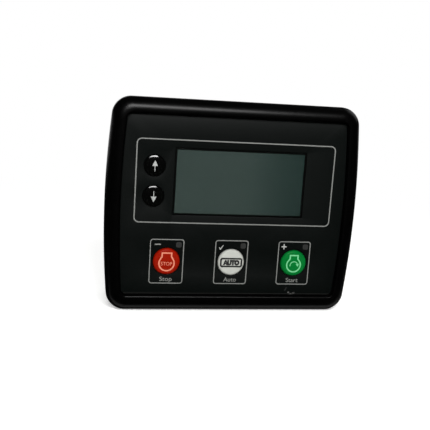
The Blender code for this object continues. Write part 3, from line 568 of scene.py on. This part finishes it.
def display_face_finish(looks):
    """A resting dot display: grey-green, with a faint grid of dots inside a black border, and painted shade
    that darkens it towards the right.
    """
    made = Finish("resting display")
    x, _, z = made.axes(made.place)

    def within(place, centre, half):
        edge = half - looks.border
        return 1.0 - abs(place - centre).ramp(edge - 0.0001, edge)

    def lines(place):
        return (place * (math.tau / looks.dot_pitch)).wave().ramp(0.80, 1.0)

    inside = within(x, DISPLAY_X, WINDOW_HALF_X) * within(z, DISPLAY_Z, WINDOW_HALF_Z)
    cloud = made.noise(0.03)
    left = made.shades(cloud, looks.lit_left_colour, 0.94, 1.06)
    right = made.shades(cloud, looks.shaded_right_colour, 0.94, 1.06)
    # Painted shade: the display darkens from its lit left colour to its shaded right colour.
    painted_shade_field = made.mix((x - DISPLAY_X).ramp(-0.006, WINDOW_HALF_X), left, right)
    dots = made.mix(lines(x).greater(lines(z)) * 0.10, painted_shade_field, (0.012, 0.016, 0.013))
    return made.shade(
        base_color=made.mix(inside, (0.0004, 0.0006, 0.0005), dots),
        roughness=0.36 + cloud.sway(0.05),
        specular_ior_level=0.15,
    )


def clear_cover():
    """A thin clear cover: almost all of it lets what is behind it show."""
    made = Finish("clear display cover")
    haze = made.noise(0.004, 3.0)
    return made.shade(
        base_color=(0.004, 0.0045, 0.0042, 1.0),
        roughness=0.22 + 0.10 * haze,
        specular_ior_level=0.3,
        alpha=0.06 + 0.03 * haze,
    )


def circuit_board():
    """Green solder mask over pale copper runs, with rows of small plated holes every 2.54 mm."""
    made = Finish("green circuit board")
    x, _, z = made.axes(made.place)
    turns = 2474.0
    runs = made.noise(0.0022, 1.0, (1.0, 1.0, 0.25))
    track = runs.ramp(0.50, 0.53) * (1.0 - runs.ramp(0.57, 0.60))
    holes = ((x * turns).wave() * (z * turns).wave()).ramp(0.90, 0.96)
    mask = made.mix(track, (0.006, 0.060, 0.022), (0.018, 0.145, 0.055))
    return made.shade(
        base_color=made.mix(holes, mask, (0.55, 0.53, 0.47)),
        roughness=0.34 + runs.sway(0.10),
        metallic=holes * 0.9,
        normal=made.bump(track, 0.00003),
    )


def put(name, data):
    """Put a new object into the scene."""
    made = bpy.data.objects.new(name, data)
    bpy.context.scene.collection.objects.link(made)
    return made


def put_mesh(name, bm):
    mesh = bpy.data.meshes.new(name)
    bm.to_mesh(mesh)
    bm.free()
    return put(name, mesh)


def closed_mesh(name, bm, finish, body):
    """Turn a bmesh into a piece of the object that rides on its body."""
    bmesh.ops.remove_doubles(bm, verts=bm.verts, dist=SAME_POINT)
    bmesh.ops.recalc_face_normals(bm, faces=bm.faces)
    if not bm.faces:
        raise RuntimeError(f"{name} came out empty")
    piece = put_mesh(name, bm)
    piece.data.shade_smooth()
    piece.data.set_sharp_from_angle(angle=SHARP)
    piece.data.materials.append(finish)
    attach(piece, body)
    return piece


def evaluated(piece):
    """The mesh of an object as its modifiers or its text make it."""
    graph = bpy.context.evaluated_depsgraph_get()
    mesh = bpy.data.meshes.new_from_object(piece.evaluated_get(graph))
    if not mesh.polygons:
        raise RuntimeError(f"{piece.name} has no faces")
    return mesh


def combine(piece, bm, operation):
    """Cut a shape out of the piece, or join it on."""
    bmesh.ops.recalc_face_normals(bm, faces=bm.faces)
    tool = put_mesh("tool", bm)
    modifier = piece.modifiers.new("shape", "BOOLEAN")
    modifier.operation = operation
    modifier.solver = "EXACT"
    modifier.object = tool
    mesh = evaluated(piece)
    piece.modifiers.clear()
    piece.data = mesh
    bpy.data.objects.remove(tool)
    mesh.set_sharp_from_angle(angle=SHARP)


def dress(node, finishes, edge=0.0):
    """Give a node of the frame its finishes, and softened edges without changing its own mesh."""
    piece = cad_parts[node]
    piece.data.materials.clear()
    for finish in finishes:
        piece.data.materials.append(finish)
    if edge:
        piece.data.shade_smooth()
        piece.modifiers.new("weld", "WELD").merge_threshold = WELD
        bevel = piece.modifiers.new("soft edges", "BEVEL")
        bevel.width = edge
        bevel.segments = SOFT_STEPS
        bevel.limit_method = "ANGLE"
        bevel.angle_limit = SOFT_ANGLE
        level = piece.modifiers.new("level faces", "WEIGHTED_NORMAL")
        level.mode = "FACE_AREA"
        level.weight = 100
        level.keep_sharp = True
    return piece


def ring_at(bm, ring, y):
    return [bm.verts.new((x, y, z)) for x, z in ring]


def bridge(bm, first, second):
    """Faces between two rings of equal count, or between a ring and one point."""
    count = max(len(first), len(second))
    for i in range(count):
        j = (i + 1) % count
        corners = [ring[k % len(ring)] for ring, k in ((first, i), (first, j), (second, j), (second, i))]
        bm.faces.new(list(dict.fromkeys(corners)))


def add_loft(bm, sections):
    """Skin rings of equal count, each (y, ring), and close both ends."""
    loops = [ring_at(bm, ring, y) for y, ring in sections]
    for first, second in zip(loops, loops[1:]):
        bridge(bm, first, second)
    bm.faces.new(loops[0])
    bm.faces.new(loops[-1])


def add_sheet(bm, levels):
    """A flat piece with holes: each level is (y, loops), and the first and last are filled."""
    made = [[ring_at(bm, loop, y) for loop in loops] for y, loops in levels]
    for first, second in zip(made, made[1:]):
        for one, other in zip(first, second):
            bridge(bm, one, other)
    for level in (made[0], made[-1]):
        edges = []
        for ring in level:
            for pair in zip(ring, ring[1:] + ring[:1]):
                edges.append(bm.edges.get(pair) or bm.edges.new(pair))
        bmesh.ops.triangle_fill(bm, use_beauty=True, edges=edges)


def add_turned(bm, profile, at, segments=TURN):
    """Turn a profile of (radius, y) points about a line along Y. A zero radius makes a pole."""
    loops = [ring_at(bm, circle(radius, at, segments if radius else 1), y) for radius, y in profile]
    for first, second in zip(loops, loops[1:]):
        bridge(bm, first, second)


def add_rod(bm, radius, start, end, at, segments):
    add_turned(bm, [(0.0, start), (radius, start), (radius, end), (0.0, end)], at, segments)


def shift(at, offset):
    return (at[0] + offset[0], at[1] + offset[1])


def moved(points, at):
    return [shift(at, point) for point in points]


def turned(points, degrees):
    """The points turned about the origin."""
    cos, sin = math.cos(math.radians(degrees)), math.sin(math.radians(degrees))
    return [(x * cos - z * sin, x * sin + z * cos) for x, z in points]


def circle(radius, at=(0.0, 0.0), count=TURN):
    turns = [math.tau * i / count for i in range(count)]
    return moved([(radius * math.cos(a), radius * math.sin(a)) for a in turns], at)


def arc(radius, at, start, end, count):
    """Points from one angle to another, in degrees, both ends among them."""
    turns = [math.radians(start + (end - start) * i / count) for i in range(count + 1)]
    return moved([(radius * math.cos(a), radius * math.sin(a)) for a in turns], at)


def rounded(half_x, half_z, radius, at=(0.0, 0.0), steps=CORNER, sides=0):
    """A rounded rectangle, with extra points down its two sides if asked."""
    points = []
    for sign_x, sign_z, start in ((1, 1, 0), (-1, 1, 90), (-1, -1, 180), (1, -1, 270)):
        centre = (sign_x * (half_x - radius), sign_z * (half_z - radius))
        points.extend(arc(radius, centre, start, start + 90, steps))
        if sides and sign_x * sign_z < 0:
            x, z = points[-1]
            points.extend((x, z * (1 - 2 * step / sides)) for step in range(1, sides))
    return moved(points, at)


def quarter(steps):
    """The angles of a quarter turn."""
    return [math.radians(90.0 * step / steps) for step in range(steps + 1)]


def stroke(points, width, closed=False):
    """The outline loops of a line of even width along the points."""
    count = len(points)
    left, right = [], []
    for i, point in enumerate(points):
        here = Vector(point)
        runs = []
        if closed or i:
            runs.append((here - Vector(points[i - 1])).normalized())
        if closed or i < count - 1:
            runs.append((Vector(points[(i + 1) % count]) - here).normalized())
        sides = [Vector((-run.y, run.x)) for run in runs]
        side = sum(sides, Vector((0.0, 0.0))).normalized()
        reach = width / 2 / max(MITRE_LIMIT, side.dot(sides[0]))
        left.append(tuple(here + side * reach))
        right.append(tuple(here - side * reach))
    return [left, right] if closed else [left + right[::-1]]


def corner_radius(inset):
    """The rim's corners tighten a little up to the crest, and more from there down to the label."""
    if inset < CREST_INSET:
        return CORNER_RADIUS + (CREST_RADIUS - CORNER_RADIUS) * inset / CREST_INSET
    share = min((inset - CREST_INSET) / (RIM_WIDTH - CREST_INSET), 1.0)
    return CREST_RADIUS + (RECESS_RADIUS - CREST_RADIUS) * share


def rim_ring(inset):
    """A ring that follows the front's barrel-shaped outline, and stands off more along the foot."""
    share = min(inset / RIM_WIDTH, 1.0)
    half_width = HALF_WIDTH - inset + RIM_SIDE_LESS * share
    flat = rounded(half_width, HALF_HEIGHT - inset, corner_radius(inset), sides=SIDE)
    lift = RIM_FOOT_EXTRA * share / 2
    ring = []
    for x, z in flat:
        height = z / HALF_HEIGHT
        ring.append((x * (1 + BULGE_RATIO * (1 - height ** 2)), z + lift * (1 - height)))
    return ring


def body_ring(inset):
    return rounded(BODY_X - inset, BODY_Z - inset, max(BODY_RADIUS - inset, WALL / 4), sides=SIDE)


def rim_section():
    """The rim's face as (inset, y), from the label's recess over the crest to the panel seat."""
    lip = LABEL_FRONT - RIM_LIP
    section = [(RIM_WIDTH, FLOOR)]
    for angle in reversed(quarter(LIP_STEPS)[1:]):
        inset = CREST_INSET + (RIM_WIDTH - CREST_INSET) * math.sin(angle) ** INNER_EDGE
        section.append((inset, CREST + (lip - CREST) * (1 - math.cos(angle) ** INNER_EDGE)))
    for angle in quarter(ROLL_STEPS):
        section.append((CREST_INSET * (1 - math.sin(angle)), CREST + OUTER_ROLL * (1 - math.cos(angle))))
    groove_end = FLANGE_X - GASKET_LAND
    return section + [
        (0.0, SEAT - SEAT_CHAMFER),
        (SEAT_CHAMFER, SEAT),
        (GASKET_INSET, SEAT),
        (GASKET_INSET, SEAT - GASKET_DEPTH),
        (groove_end, SEAT - GASKET_DEPTH),
        (groove_end, SEAT),
    ]


def key_radius(name):
    low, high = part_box(f"{name}_button")
    return (high.x - low.x) / 2 - KEY_LIP


def key_openings(gap):
    """The loops of the round openings for the keys."""
    return [circle(key_radius(name) + gap, middle(f"{name}_button")) for name in ROUND_KEYS + ARROW_KEYS]


def light_square(name, grow, corner):
    """A square over the light pipe of a key, larger than the pipe by a margin."""
    half = PIPE_SIZE / 2 + grow
    return rounded(half, half, corner, middle(f"{name}_light_pipe"), steps=3)


def lettering(bm, levels, words, at, height, width, weight=0.0):
    """Words as thin closed solids between two levels, centred on a place."""
    font = bpy.data.curves.new("words", "FONT")
    font.body = words
    font.size = 1.0
    font.extrude = 0.05
    font.offset = weight
    font.align_x = "CENTER"
    font.resolution_u = 6
    holder = put("words", font)
    mesh = evaluated(holder)
    start = len(bm.verts)
    bm.from_mesh(mesh)
    bm.verts.ensure_lookup_table()
    fresh = bm.verts[start:]
    low_x = min(v.co.x for v in fresh)
    high_x = max(v.co.x for v in fresh)
    scale_x = width / (high_x - low_x)
    scale_z = height / CAPITAL
    centre = (low_x + high_x) / 2
    for vert in fresh:
        x, z, out = vert.co
        y = levels[0] if out > 0 else levels[1]
        vert.co = (at[0] + (x - centre) * scale_x, y, at[1] + z * scale_z)
    bpy.data.objects.remove(holder)
    bpy.data.curves.remove(font)
    bpy.data.meshes.remove(mesh)


def printed(name, face, thickness, shapes, finish, body, words=None):
    """Print shapes and words: they stand out of the face a little, and sink in by half of that."""
    levels = (face - thickness, face + thickness / 2)
    bm = bmesh.new()
    for loops in shapes:
        add_sheet(bm, [(y, loops) for y in levels])
    if words:
        lettering(bm, levels, **words)
    closed_mesh(name, bm, finish, body)


def engine_sign(centre, line, radius, neck, top, shoulder):
    """The sign of an engine: a ring that opens upwards into a square neck."""
    half, high = neck - line / 2, top - line / 2
    points = arc(radius - line / 2, (0.0, -ENGINE_DROP), *ENGINE_OPENING, ENGINE_STEPS)
    points += [(-half, shoulder), (-half, high), (half, high), (half, shoulder)]
    return stroke(moved(points, centre), line, closed=True)


def arrowhead(at, size, angle):
    """A filled arrowhead with its tip that way, in degrees."""
    tail, half_width = -size * 0.5, size * 0.85
    return [moved(turned([(size, 0.0), (tail, half_width), (tail, -half_width)], angle), at)]


def crown_drop(share):
    """How far an arrow key's dome falls behind its top at this share of its radius."""
    return ARROW_CROWN * (1 - max(1 - share ** 2, 0.0) ** (CROWN_CURVE / 2))


def cap_profile(name, edge):
    """A key cap as (radius, y): its face, and the body behind the plate as the frame has it."""
    low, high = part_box(f"{name}_button")
    radius = key_radius(name)
    lip_front = FLOOR + PLATE + FIT
    lip_back = lip_front + KEY_LIP_THICKNESS
    if name in ARROW_KEYS:
        face = [(radius * math.sin(a), low.y + crown_drop(math.sin(a))) for a in quarter(DOME_STEPS)]
    else:
        roll = [(1 - math.sin(a), 1 - math.cos(a)) for a in quarter(CAP_STEPS)]
        face = [(0.0, low.y)] + [(radius - edge * inward, low.y + edge * back) for inward, back in roll]
    return face + [
        (radius, lip_front),
        (radius + KEY_LIP, lip_front),
        (radius + KEY_LIP, lip_back),
        (KEY_STEM_RADIUS, lip_back),
        (KEY_STEM_RADIUS, high.y),
        (0.0, high.y),
    ]


def key_cap(name, edge, finish):
    """Build a key cap, and give its middle and the front of its face."""
    at = middle(f"{name}_button")
    bm = bmesh.new()
    add_turned(bm, cap_profile(name, edge), at)
    piece = closed_mesh(f"{name}_cap", bm, finish, f"{name}_key")
    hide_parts(f"{name}_button")
    return at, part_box(f"{name}_button")[0].y


class ControllerOperator:
    """What the operators share."""

    bl_options = {"REGISTER", "UNDO"}

    @staticmethod
    def looks(context):
        return context.scene.controller


class CONTROLLER_OT_front_moulding(ControllerOperator, bpy.types.Operator):
    """Build the front moulding: rolled rim, label plate, flange, groove, bosses and openings"""

    bl_idname = "controller.front_moulding"
    bl_label = "Front moulding"

    def execute(self, context):
        looks = self.looks(context).case
        plate_back = FLOOR + PLATE
        sections = [(y, rim_ring(inset)) for inset, y in rim_section()]
        body = ((SEAT, 0.0), (SPLIT - FIT, 0.0), (SPLIT, FIT), (SPLIT, WALL), (plate_back, WALL))
        sections += [(y, body_ring(inset)) for y, inset in body]
        bm = bmesh.new()
        add_loft(bm, sections)
        # The front moulding keeps the darker black in front of the seat and is painted with the paler lit
        # copy behind it.
        finish = moulded("black moulded case", looks.colour, looks.roughness, looks.grain, looks.grain_depth,
                         looks.sheen, tuple(looks.rear_lit_colour))
        piece = closed_mesh("front_moulding", bm, finish, "housing")

        bosses = bmesh.new()
        for at in SCREWS:
            add_rod(bosses, BOSS_RADIUS, plate_back - PLATE / 2, BOSS_END, at, BOSS_TURN)
        combine(piece, bosses, "UNION")

        holes = bmesh.new()
        front, back = FLOOR - CUT_PAST, plate_back + CUT_PAST
        for loop in key_openings(FIT) + [light_square(name, FIT, PIPE_CORNER) for name in ROUND_KEYS]:
            add_loft(holes, [(front, loop), (back, loop)])
        ledge = rounded(WINDOW_HALF_X + WALL + FIT, WINDOW_HALF_Z + WALL + FIT, WALL, DISPLAY_AT)
        clear = rounded(WINDOW_HALF_X, WINDOW_HALF_Z, WINDOW_RADIUS, DISPLAY_AT)
        step = FLOOR + LENS_FLANGE + FIT
        add_loft(holes, [(front, ledge), (step, ledge), (step, clear), (back, clear)])
        for at in SCREWS:
            add_rod(holes, SCREW_HOLE_RADIUS, BOSS_END - SCREW_HOLE_DEPTH, BOSS_END + CUT_PAST, at, HOLE_TURN)
        combine(piece, holes, "DIFFERENCE")
        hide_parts("front_bezel")
        return {"FINISHED"}


class CONTROLLER_OT_label(ControllerOperator, bpy.types.Operator):
    """Build the label's film with its cut edges"""

    bl_idname = "controller.label"
    bl_label = "Label"

    def execute(self, context):
        looks = self.looks(context).label

        def loops(inset):
            outline = rim_ring(RIM_WIDTH + FIT + inset)
            lifted = [(x, z + LABEL_FOOT_GAP * (1 - z / HALF_HEIGHT) / 2) for x, z in outline]
            window = rounded(WINDOW_HALF_X + inset, WINDOW_HALF_Z + inset, WINDOW_RADIUS + inset, DISPLAY_AT)
            return [lifted, window] + key_openings(FIT + inset)

        levels = [(LABEL_BACK, loops(0.0))]
        for angle in quarter(FILM_STEPS):
            y = LABEL_FRONT + looks.edge * (1 - math.sin(angle))
            levels.append((y, loops(looks.edge * (1 - math.cos(angle)))))
        bm = bmesh.new()
        add_sheet(bm, levels)
        piece = closed_mesh("printed_label", bm, label_film(looks), "housing")
        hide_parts("fascia_label")
        return {"FINISHED"}


class CONTROLLER_OT_printing(ControllerOperator, bpy.types.Operator):
    """Print the frames, captions and small signs on the label"""

    bl_idname = "controller.printing"
    bl_label = "Printing on the label"

    def execute(self, context):
        looks = self.looks(context).label
        lines = ink("grey printed lines", looks.line_colour)
        signs = ink("pale printed signs", looks.sign_colour)
        words = ink("grey printed words", looks.caption_colour)

        def on_label(name, shapes, finish, word=None):
            printed(name, LABEL_FRONT, looks.ink, shapes, finish, "housing", word)

        around = rounded(**DISPLAY_LINE)
        on_label("display_line", [stroke(around, looks.line_width, closed=True)], lines)
        places = {name: middle(f"{name}_button") for name in ROUND_KEYS}
        for name, at in places.items():
            around = rounded(at=shift(at, (0.0, -KEY_LINE_DROP)), **KEY_LINE)
            on_label(f"{name}_line", [stroke(around, looks.line_width * KEY_LINE_SHARE, closed=True)], lines)
            on_label(f"{name}_caption", [], words, {
                "words": name.title(), "at": shift(at, (0.0, -CAPTION_DROP)),
                "height": CAPTION_HEIGHT, "width": CAPTION_WIDTHS[name]})

        plus = [point for turn in range(4) for point in turned(PLUS_ARM, 90.0 * turn)]
        on_label("minus_sign", [[rounded(at=shift(places["stop"], MINUS_AT), **MINUS)]], words)
        on_label("tick_sign", [[moved(TICK, places["auto"])]], signs)
        on_label("plus_sign", [[moved(plus, shift(places["start"], PLUS_AT))]], signs)
        return {"FINISHED"}


class CONTROLLER_OT_display(ControllerOperator, bpy.types.Operator):
    """Build the display's face, its clear cover and the status windows"""

    bl_idname = "controller.display"
    bl_label = "Display"

    def execute(self, context):
        looks = self.looks(context).display

        def outline(grow, radius=WINDOW_RADIUS, steps=6):
            return rounded(WINDOW_HALF_X + grow, WINDOW_HALF_Z + grow, radius, DISPLAY_AT, steps)

        narrow, flange = outline(-FIT), outline(WALL, WALL - FIT)
        bm = bmesh.new()
        add_loft(bm, [(LABEL_FRONT + looks.cover + SKIN, narrow), (FLOOR, narrow), (FLOOR, flange),
                      (FLOOR + LENS_FLANGE, flange)])
        piece = closed_mesh("display_face", bm, display_face_finish(looks), "housing")
        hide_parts("display_window")

        full, less = outline(-FIT, steps=4), outline(-FIT - COVER_CHAMFER, steps=4)
        bm = bmesh.new()
        add_loft(bm, [(LABEL_FRONT, less), (LABEL_FRONT + COVER_CHAMFER, full),
                      (LABEL_FRONT + looks.cover, full)])
        closed_mesh("display_cover", bm, clear_cover(), "housing")

        thin = self.looks(context).label.ink / 2
        patch = ink("clear patch in the label", looks.status_colour)
        for name in ROUND_KEYS:
            square = light_square(name, -STATUS_LESS, STATUS_CORNER)
            printed(f"{name}_status_window", LABEL_FRONT, thin, [[square]], patch, "housing")
        return {"FINISHED"}


class CONTROLLER_OT_round_keys(ControllerOperator, bpy.types.Operator):
    """Build the stop, auto and start keys with their signs"""

    bl_idname = "controller.round_keys"
    bl_label = "Round keys"

    def execute(self, context):
        looks = self.looks(context).keys
        thin = self.looks(context).label.ink
        for name in ROUND_KEYS:
            colour = getattr(looks, f"{name}_colour")
            plastic = glossy_plastic(f"{name} key plastic", colour, 0.34, specular=0.045)
            at, face = key_cap(name, looks.edge, plastic)
            words = dict(KEY_WORDS.get(name, {}))
            if words:
                words["at"] = shift(at, (0.0, -words.pop("drop")))
            printed(f"{name}_sign", face, thin, self.sign(name, at, looks.sign_line),
                    ink(f"{name} key ink", KEY_INKS[name]), f"{name}_key", words)
        return {"FINISHED"}

    @staticmethod
    def sign(name, at, line):
        """The shapes of a key's sign, each of them a list of loops."""
        if name == "stop":
            return [engine_sign(at, line, **STOP_ENGINE)]
        if name == "start":
            swing = arc(at=shift(at, SWING_AT), **SWING)
            place, size, way = SWING_HEAD
            return [
                engine_sign(at, line, **START_ENGINE),
                stroke(swing, line * SWING_SHARE),
                arrowhead(shift(at, place), size, way),
            ]
        shapes = [stroke(rounded(at=at, **AUTO_LOOP), AUTO_LINE, closed=True)]
        return shapes + [arrowhead(shift(at, place), AUTO_HEAD, way) for place, way in AUTO_HEADS]


class CONTROLLER_OT_arrow_keys(ControllerOperator, bpy.types.Operator):
    """Build the domed up and down keys with their arrows"""

    bl_idname = "controller.arrow_keys"
    bl_label = "Arrow keys"

    def execute(self, context):
        looks = self.looks(context).keys
        thin = self.looks(context).label.ink
        black = glossy_plastic("black key plastic", looks.arrow_colour, 0.09)
        white = ink("white arrow ink", (0.32, 0.33, 0.32))
        for name, way in (("up", 1), ("down", -1)):
            at, top = key_cap(name, looks.edge, black)
            radius = key_radius(name)
            loop = moved([(x, way * z) for x, z in ARROW], at)
            bm = bmesh.new()
            add_sheet(bm, [(0.0, [loop]), (1.0, [loop])])
            bmesh.ops.triangulate(bm, faces=bm.faces)
            flat = [edge for edge in bm.edges if edge.verts[0].co.y == edge.verts[1].co.y]
            bmesh.ops.subdivide_edges(bm, edges=flat, cuts=5, use_grid_fill=True)
            for vert in bm.verts:
                away = math.hypot(vert.co.x - at[0], vert.co.z - at[1])
                surface = top + crown_drop(away / radius)
                vert.co.y = surface - thin if vert.co.y < 0.5 else surface + thin
            closed_mesh(f"{name}_sign", bm, white, f"{name}_key")
        return {"FINISHED"}


class CONTROLLER_OT_back(ControllerOperator, bpy.types.Operator):
    """Finish the rear cover, the sockets, the screws and the seal"""

    bl_idname = "controller.back"
    bl_label = "Back"

    def execute(self, context):
        looks = self.looks(context).back
        case = self.looks(context).case
        fine = looks.edge * 0.6
        # The rear cover is painted with the paler lit copy of the case's black.
        black = moulded("black moulded cover", case.rear_lit_colour, looks.cover_roughness, case.grain,
                        case.grain_depth, 0.25)
        green = moulded("green socket plastic", looks.socket_colour, 0.40, 0.0005, 0.000006)
        white = moulded("white socket plastic", (0.70, 0.70, 0.67), 0.42, 0.0004, 0.000006)
        rubber = moulded("black rubber seal", (0.012, 0.012, 0.012), 0.72, 0.0006, 0.00002)
        pins = bare_metal("tinned pins", (0.66, 0.65, 0.62), 0.30)
        plated = bare_metal("bright plated steel", (0.62, 0.60, 0.57), 0.26, (1.0, 0.2, 1.0))
        screw = bare_metal("zinc plated screw", (0.58, 0.58, 0.56), 0.30)
        dress("rear_cover", [black], looks.edge)
        for node in ("header_outputs", "header_inputs", "header_sensing"):
            self.plate_pins(dress(node, [green, pins], fine), node)
        dress("usb_shell", [plated], looks.edge)
        dress("usb_tongue", [white], fine)
        for number in range(1, 5):
            dress(f"case_screw_{number}", [screw], looks.edge * 0.5)
        dress("panel_gasket", [rubber], looks.edge)
        return {"FINISHED"}

    @staticmethod
    def plate_pins(piece, node):
        """Give the pins inside a socket their metal: they stand in one row near its middle."""
        row_offset, row_reach = 0.0019, 0.0007
        socket_depth, pin_start, pin_end = 0.0090, 0.0002, 0.0077
        _, z = middle(node)
        row = z - math.copysign(row_offset, z)
        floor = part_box(node)[1].y - socket_depth
        for face in piece.data.polygons:
            at = face.center
            if abs(at.z - row) < row_reach and floor + pin_start < at.y < floor + pin_end:
                face.material_index = 1


class CONTROLLER_OT_inside(ControllerOperator, bpy.types.Operator):
    """Finish the boards, switches and display parts inside the case"""

    bl_idname = "controller.inside"
    bl_label = "Inside"

    def execute(self, context):
        def each(part, names=ROUND_KEYS + ARROW_KEYS):
            return [f"{name}_{part}" for name in names]

        board = circuit_board()
        for node in ("display_board", "power_board"):
            dress(node, [board])
        rows = (
            (moulded("dark epoxy", (0.012, 0.012, 0.013), 0.52, 0.0003, 0.00001), "epoxy",
             ["processor_chip", "board_link"] + each("switch")),
            (moulded("ferrite", (0.03, 0.03, 0.03), 0.66, 0.0005, 0.00002), "epoxy", ["supply_inductor"]),
            (moulded("white nylon", (0.66, 0.65, 0.60), 0.5, 0.0008, 0.00001), "nylon",
             [f"board_spacer_{number}" for number in range(1, 5)]),
            (moulded("pink contact strip", (0.50, 0.22, 0.20), 0.66, 0.0005, 0.00001), "elastomer",
             ["lcd_contact_strip"]),
            (moulded("plunger plastic", (0.22, 0.02, 0.015), 0.42, 0.0004, 0.00001), "plunger",
             each("plunger")),
            (glossy_plastic("capacitor sleeve", (0.012, 0.012, 0.028), 0.34), "sleeve",
             ["supply_capacitor_1", "supply_capacitor_2"]),
            (glossy_plastic("blue relay case", (0.02, 0.08, 0.26), 0.36), "relay_case",
             ["output_relay_1", "output_relay_2"]),
            (glossy_plastic("milky light guide", (0.72, 0.75, 0.71), 0.30), "acrylic", ["lcd_light_guide"]),
            (glossy_plastic("display glass", (0.03, 0.04, 0.034), 0.16), "lcd", ["lcd_glass"]),
            (glossy_plastic("light chip", (0.74, 0.68, 0.42), 0.38), "light_chip", each("light", ROUND_KEYS)),
            (glossy_plastic("smoked light pipe", (0.03, 0.03, 0.03), 0.30), "light_pipe",
             each("light_pipe", ROUND_KEYS)),
            (bare_metal("nickel", (0.66, 0.63, 0.58), 0.28), "plated_steel", ["clock_battery"]),
            (bare_metal("blackened steel", (0.045, 0.045, 0.045), 0.42), "steel_black", ["lcd_frame"]),
        )
        for finish, slot, nodes in rows:
            for node in nodes:
                dress(node, [finish], SMALL_EDGE)
        return {"FINISHED"}


def lamp(name, place, size, power):
    """A soft lamp that faces the object."""
    data = bpy.data.lights.new(name, "AREA")
    data.shape = "RECTANGLE"
    data.size, data.size_y = size
    data.energy = power
    made = put(name, data)
    made.location = place
    made.rotation_euler = (-Vector(place)).to_track_quat("-Z", "Y").to_euler()


class CONTROLLER_OT_stage(ControllerOperator, bpy.types.Operator):
    """Lay the pale floor and set the lamps, the room and the camera"""

    bl_idname = "controller.stage"
    bl_label = "Stage"

    def execute(self, context):
        looks = self.looks(context).stage
        scene = context.scene
        scene.view_settings.view_transform = "Standard"

        radius, gap = 3.0, 0.0001
        bm = bmesh.new()
        bm.faces.new([bm.verts.new((x, y, -HALF_HEIGHT - gap)) for x, y in circle(radius)])
        floor = put_mesh("floor", bm)
        floor.data.materials.append(self.floor_finish())

        self.room(scene, looks)
        lamp("key_lamp", place=(-0.045, -0.70, 0.52), size=(0.50, 0.27), power=looks.key_power)
        lamp("fill_lamp", place=(0.75, 0.35, 0.55), size=(0.6, 0.6), power=looks.fill_power)

        data = bpy.data.cameras.new("camera")
        data.sensor_width = 36.0
        data.lens = looks.lens
        data.clip_start = 0.01
        camera = put("camera", data)
        camera.location = looks.camera_place
        camera.rotation_euler = looks.camera_turn
        scene.camera = camera
        return {"FINISHED"}

    @staticmethod
    def floor_finish():
        """A pale floor that keeps the shadow and runs into white far away.

        In gloss it is white behind the object and dim elsewhere, but for a strip under the rim.
        """
        made = Finish("pale floor")
        x, y, _ = made.axes(made.place)
        shown, mirrored = made.rays()
        strip_front, strip_back, strip_edge = 0.0222, 0.0186, 0.0006
        near = made.node("ShaderNodeBsdfPrincipled", {}, {
            "Base Color": made.mix(made.noise(0.002), (0.83, 0.83, 0.82), (0.86, 0.86, 0.85)),
            "Roughness": 0.9,
            "Specular IOR Level": 0.0,
            "Emission Color": made.mix(shown, (0.0, 0.0, 0.0), (0.34, 0.34, 0.34)),
            "Emission Strength": 1.0,
        })
        white = made.node("ShaderNodeEmission", {}, {"Color": WHITE, "Strength": 1.0})
        dim = made.node("ShaderNodeEmission", {}, {"Color": WHITE, "Strength": 0.015})
        away = (x * x + y * y) ** 0.5
        far = (away.ramp(0.16, 0.42) * shown).greater(y.ramp(0.4, 0.9) * mirrored)
        strip = (y + strip_front).ramp(0.0, strip_edge) * (0.0 - y - strip_back).ramp(0.0, strip_edge)
        both = made.node("ShaderNodeMixShader", {}, {0: mirrored * (1.0 - strip), 1: near, 2: dim})
        seen = made.node("ShaderNodeMixShader", {}, {0: far, 1: both, 2: white})
        made.node("ShaderNodeOutputMaterial", {}, {"Surface": seen})
        return made.material

    @staticmethod
    def room(scene, looks):
        """White where the camera looks and behind the object, and dim on the camera's side."""
        scene.world = bpy.data.worlds.new("room")
        scene.world.use_nodes = True
        made = Graph(scene.world.node_tree)
        _, back, _ = made.axes(made.node("ShaderNodeTexCoord", output="Generated"))
        shown, mirrored = made.rays()
        behind = back.ramp(0.93, 0.985)
        gloss = behind + looks.dim * (1.0 - behind)
        diffuse = looks.room + looks.back_room * back.ramp(-0.2, 0.9)
        around = mirrored * gloss + (1.0 - mirrored) * diffuse
        strength = shown + (1.0 - shown) * around
        sky = made.node("ShaderNodeBackground", {}, {"Color": WHITE, "Strength": strength})
        made.node("ShaderNodeOutputWorld", {}, {"Surface": sky})


STEPS = (
    CONTROLLER_OT_front_moulding,
    CONTROLLER_OT_label,
    CONTROLLER_OT_printing,
    CONTROLLER_OT_display,
    CONTROLLER_OT_round_keys,
    CONTROLLER_OT_arrow_keys,
    CONTROLLER_OT_back,
    CONTROLLER_OT_inside,
    CONTROLLER_OT_stage,
)


class CONTROLLER_PT_looks(bpy.types.Panel):
    """Lists the settings and the steps"""

    bl_idname = "CONTROLLER_PT_looks"
    bl_label = "Engine controller"
    bl_space_type = "VIEW_3D"
    bl_region_type = "UI"
    bl_category = "Controller"

    def draw(self, context):
        looks = context.scene.controller
        for part, group in PARTS.items():
            box = self.layout.box()
            box.label(text=part.title())
            for name in group.__annotations__:
                box.prop(getattr(looks, part), name)
        for step in STEPS:
            self.layout.operator(step.bl_idname)


CLASSES = (*PARTS.values(), ControllerSettings, *STEPS, CONTROLLER_PT_looks)


def register():
    for item in CLASSES:
        bpy.utils.register_class(item)
    bpy.types.Scene.controller = PointerProperty(type=ControllerSettings)


def unregister():
    del bpy.types.Scene.controller
    for item in reversed(CLASSES):
        bpy.utils.unregister_class(item)


def main():
    register()
    bpy.ops.controller.front_moulding()
    bpy.ops.controller.label()
    bpy.ops.controller.printing()
    bpy.ops.controller.display()
    bpy.ops.controller.round_keys()
    bpy.ops.controller.arrow_keys()
    bpy.ops.controller.back()
    bpy.ops.controller.inside()
    bpy.ops.controller.stage()


if __name__ == "__main__":
    main()
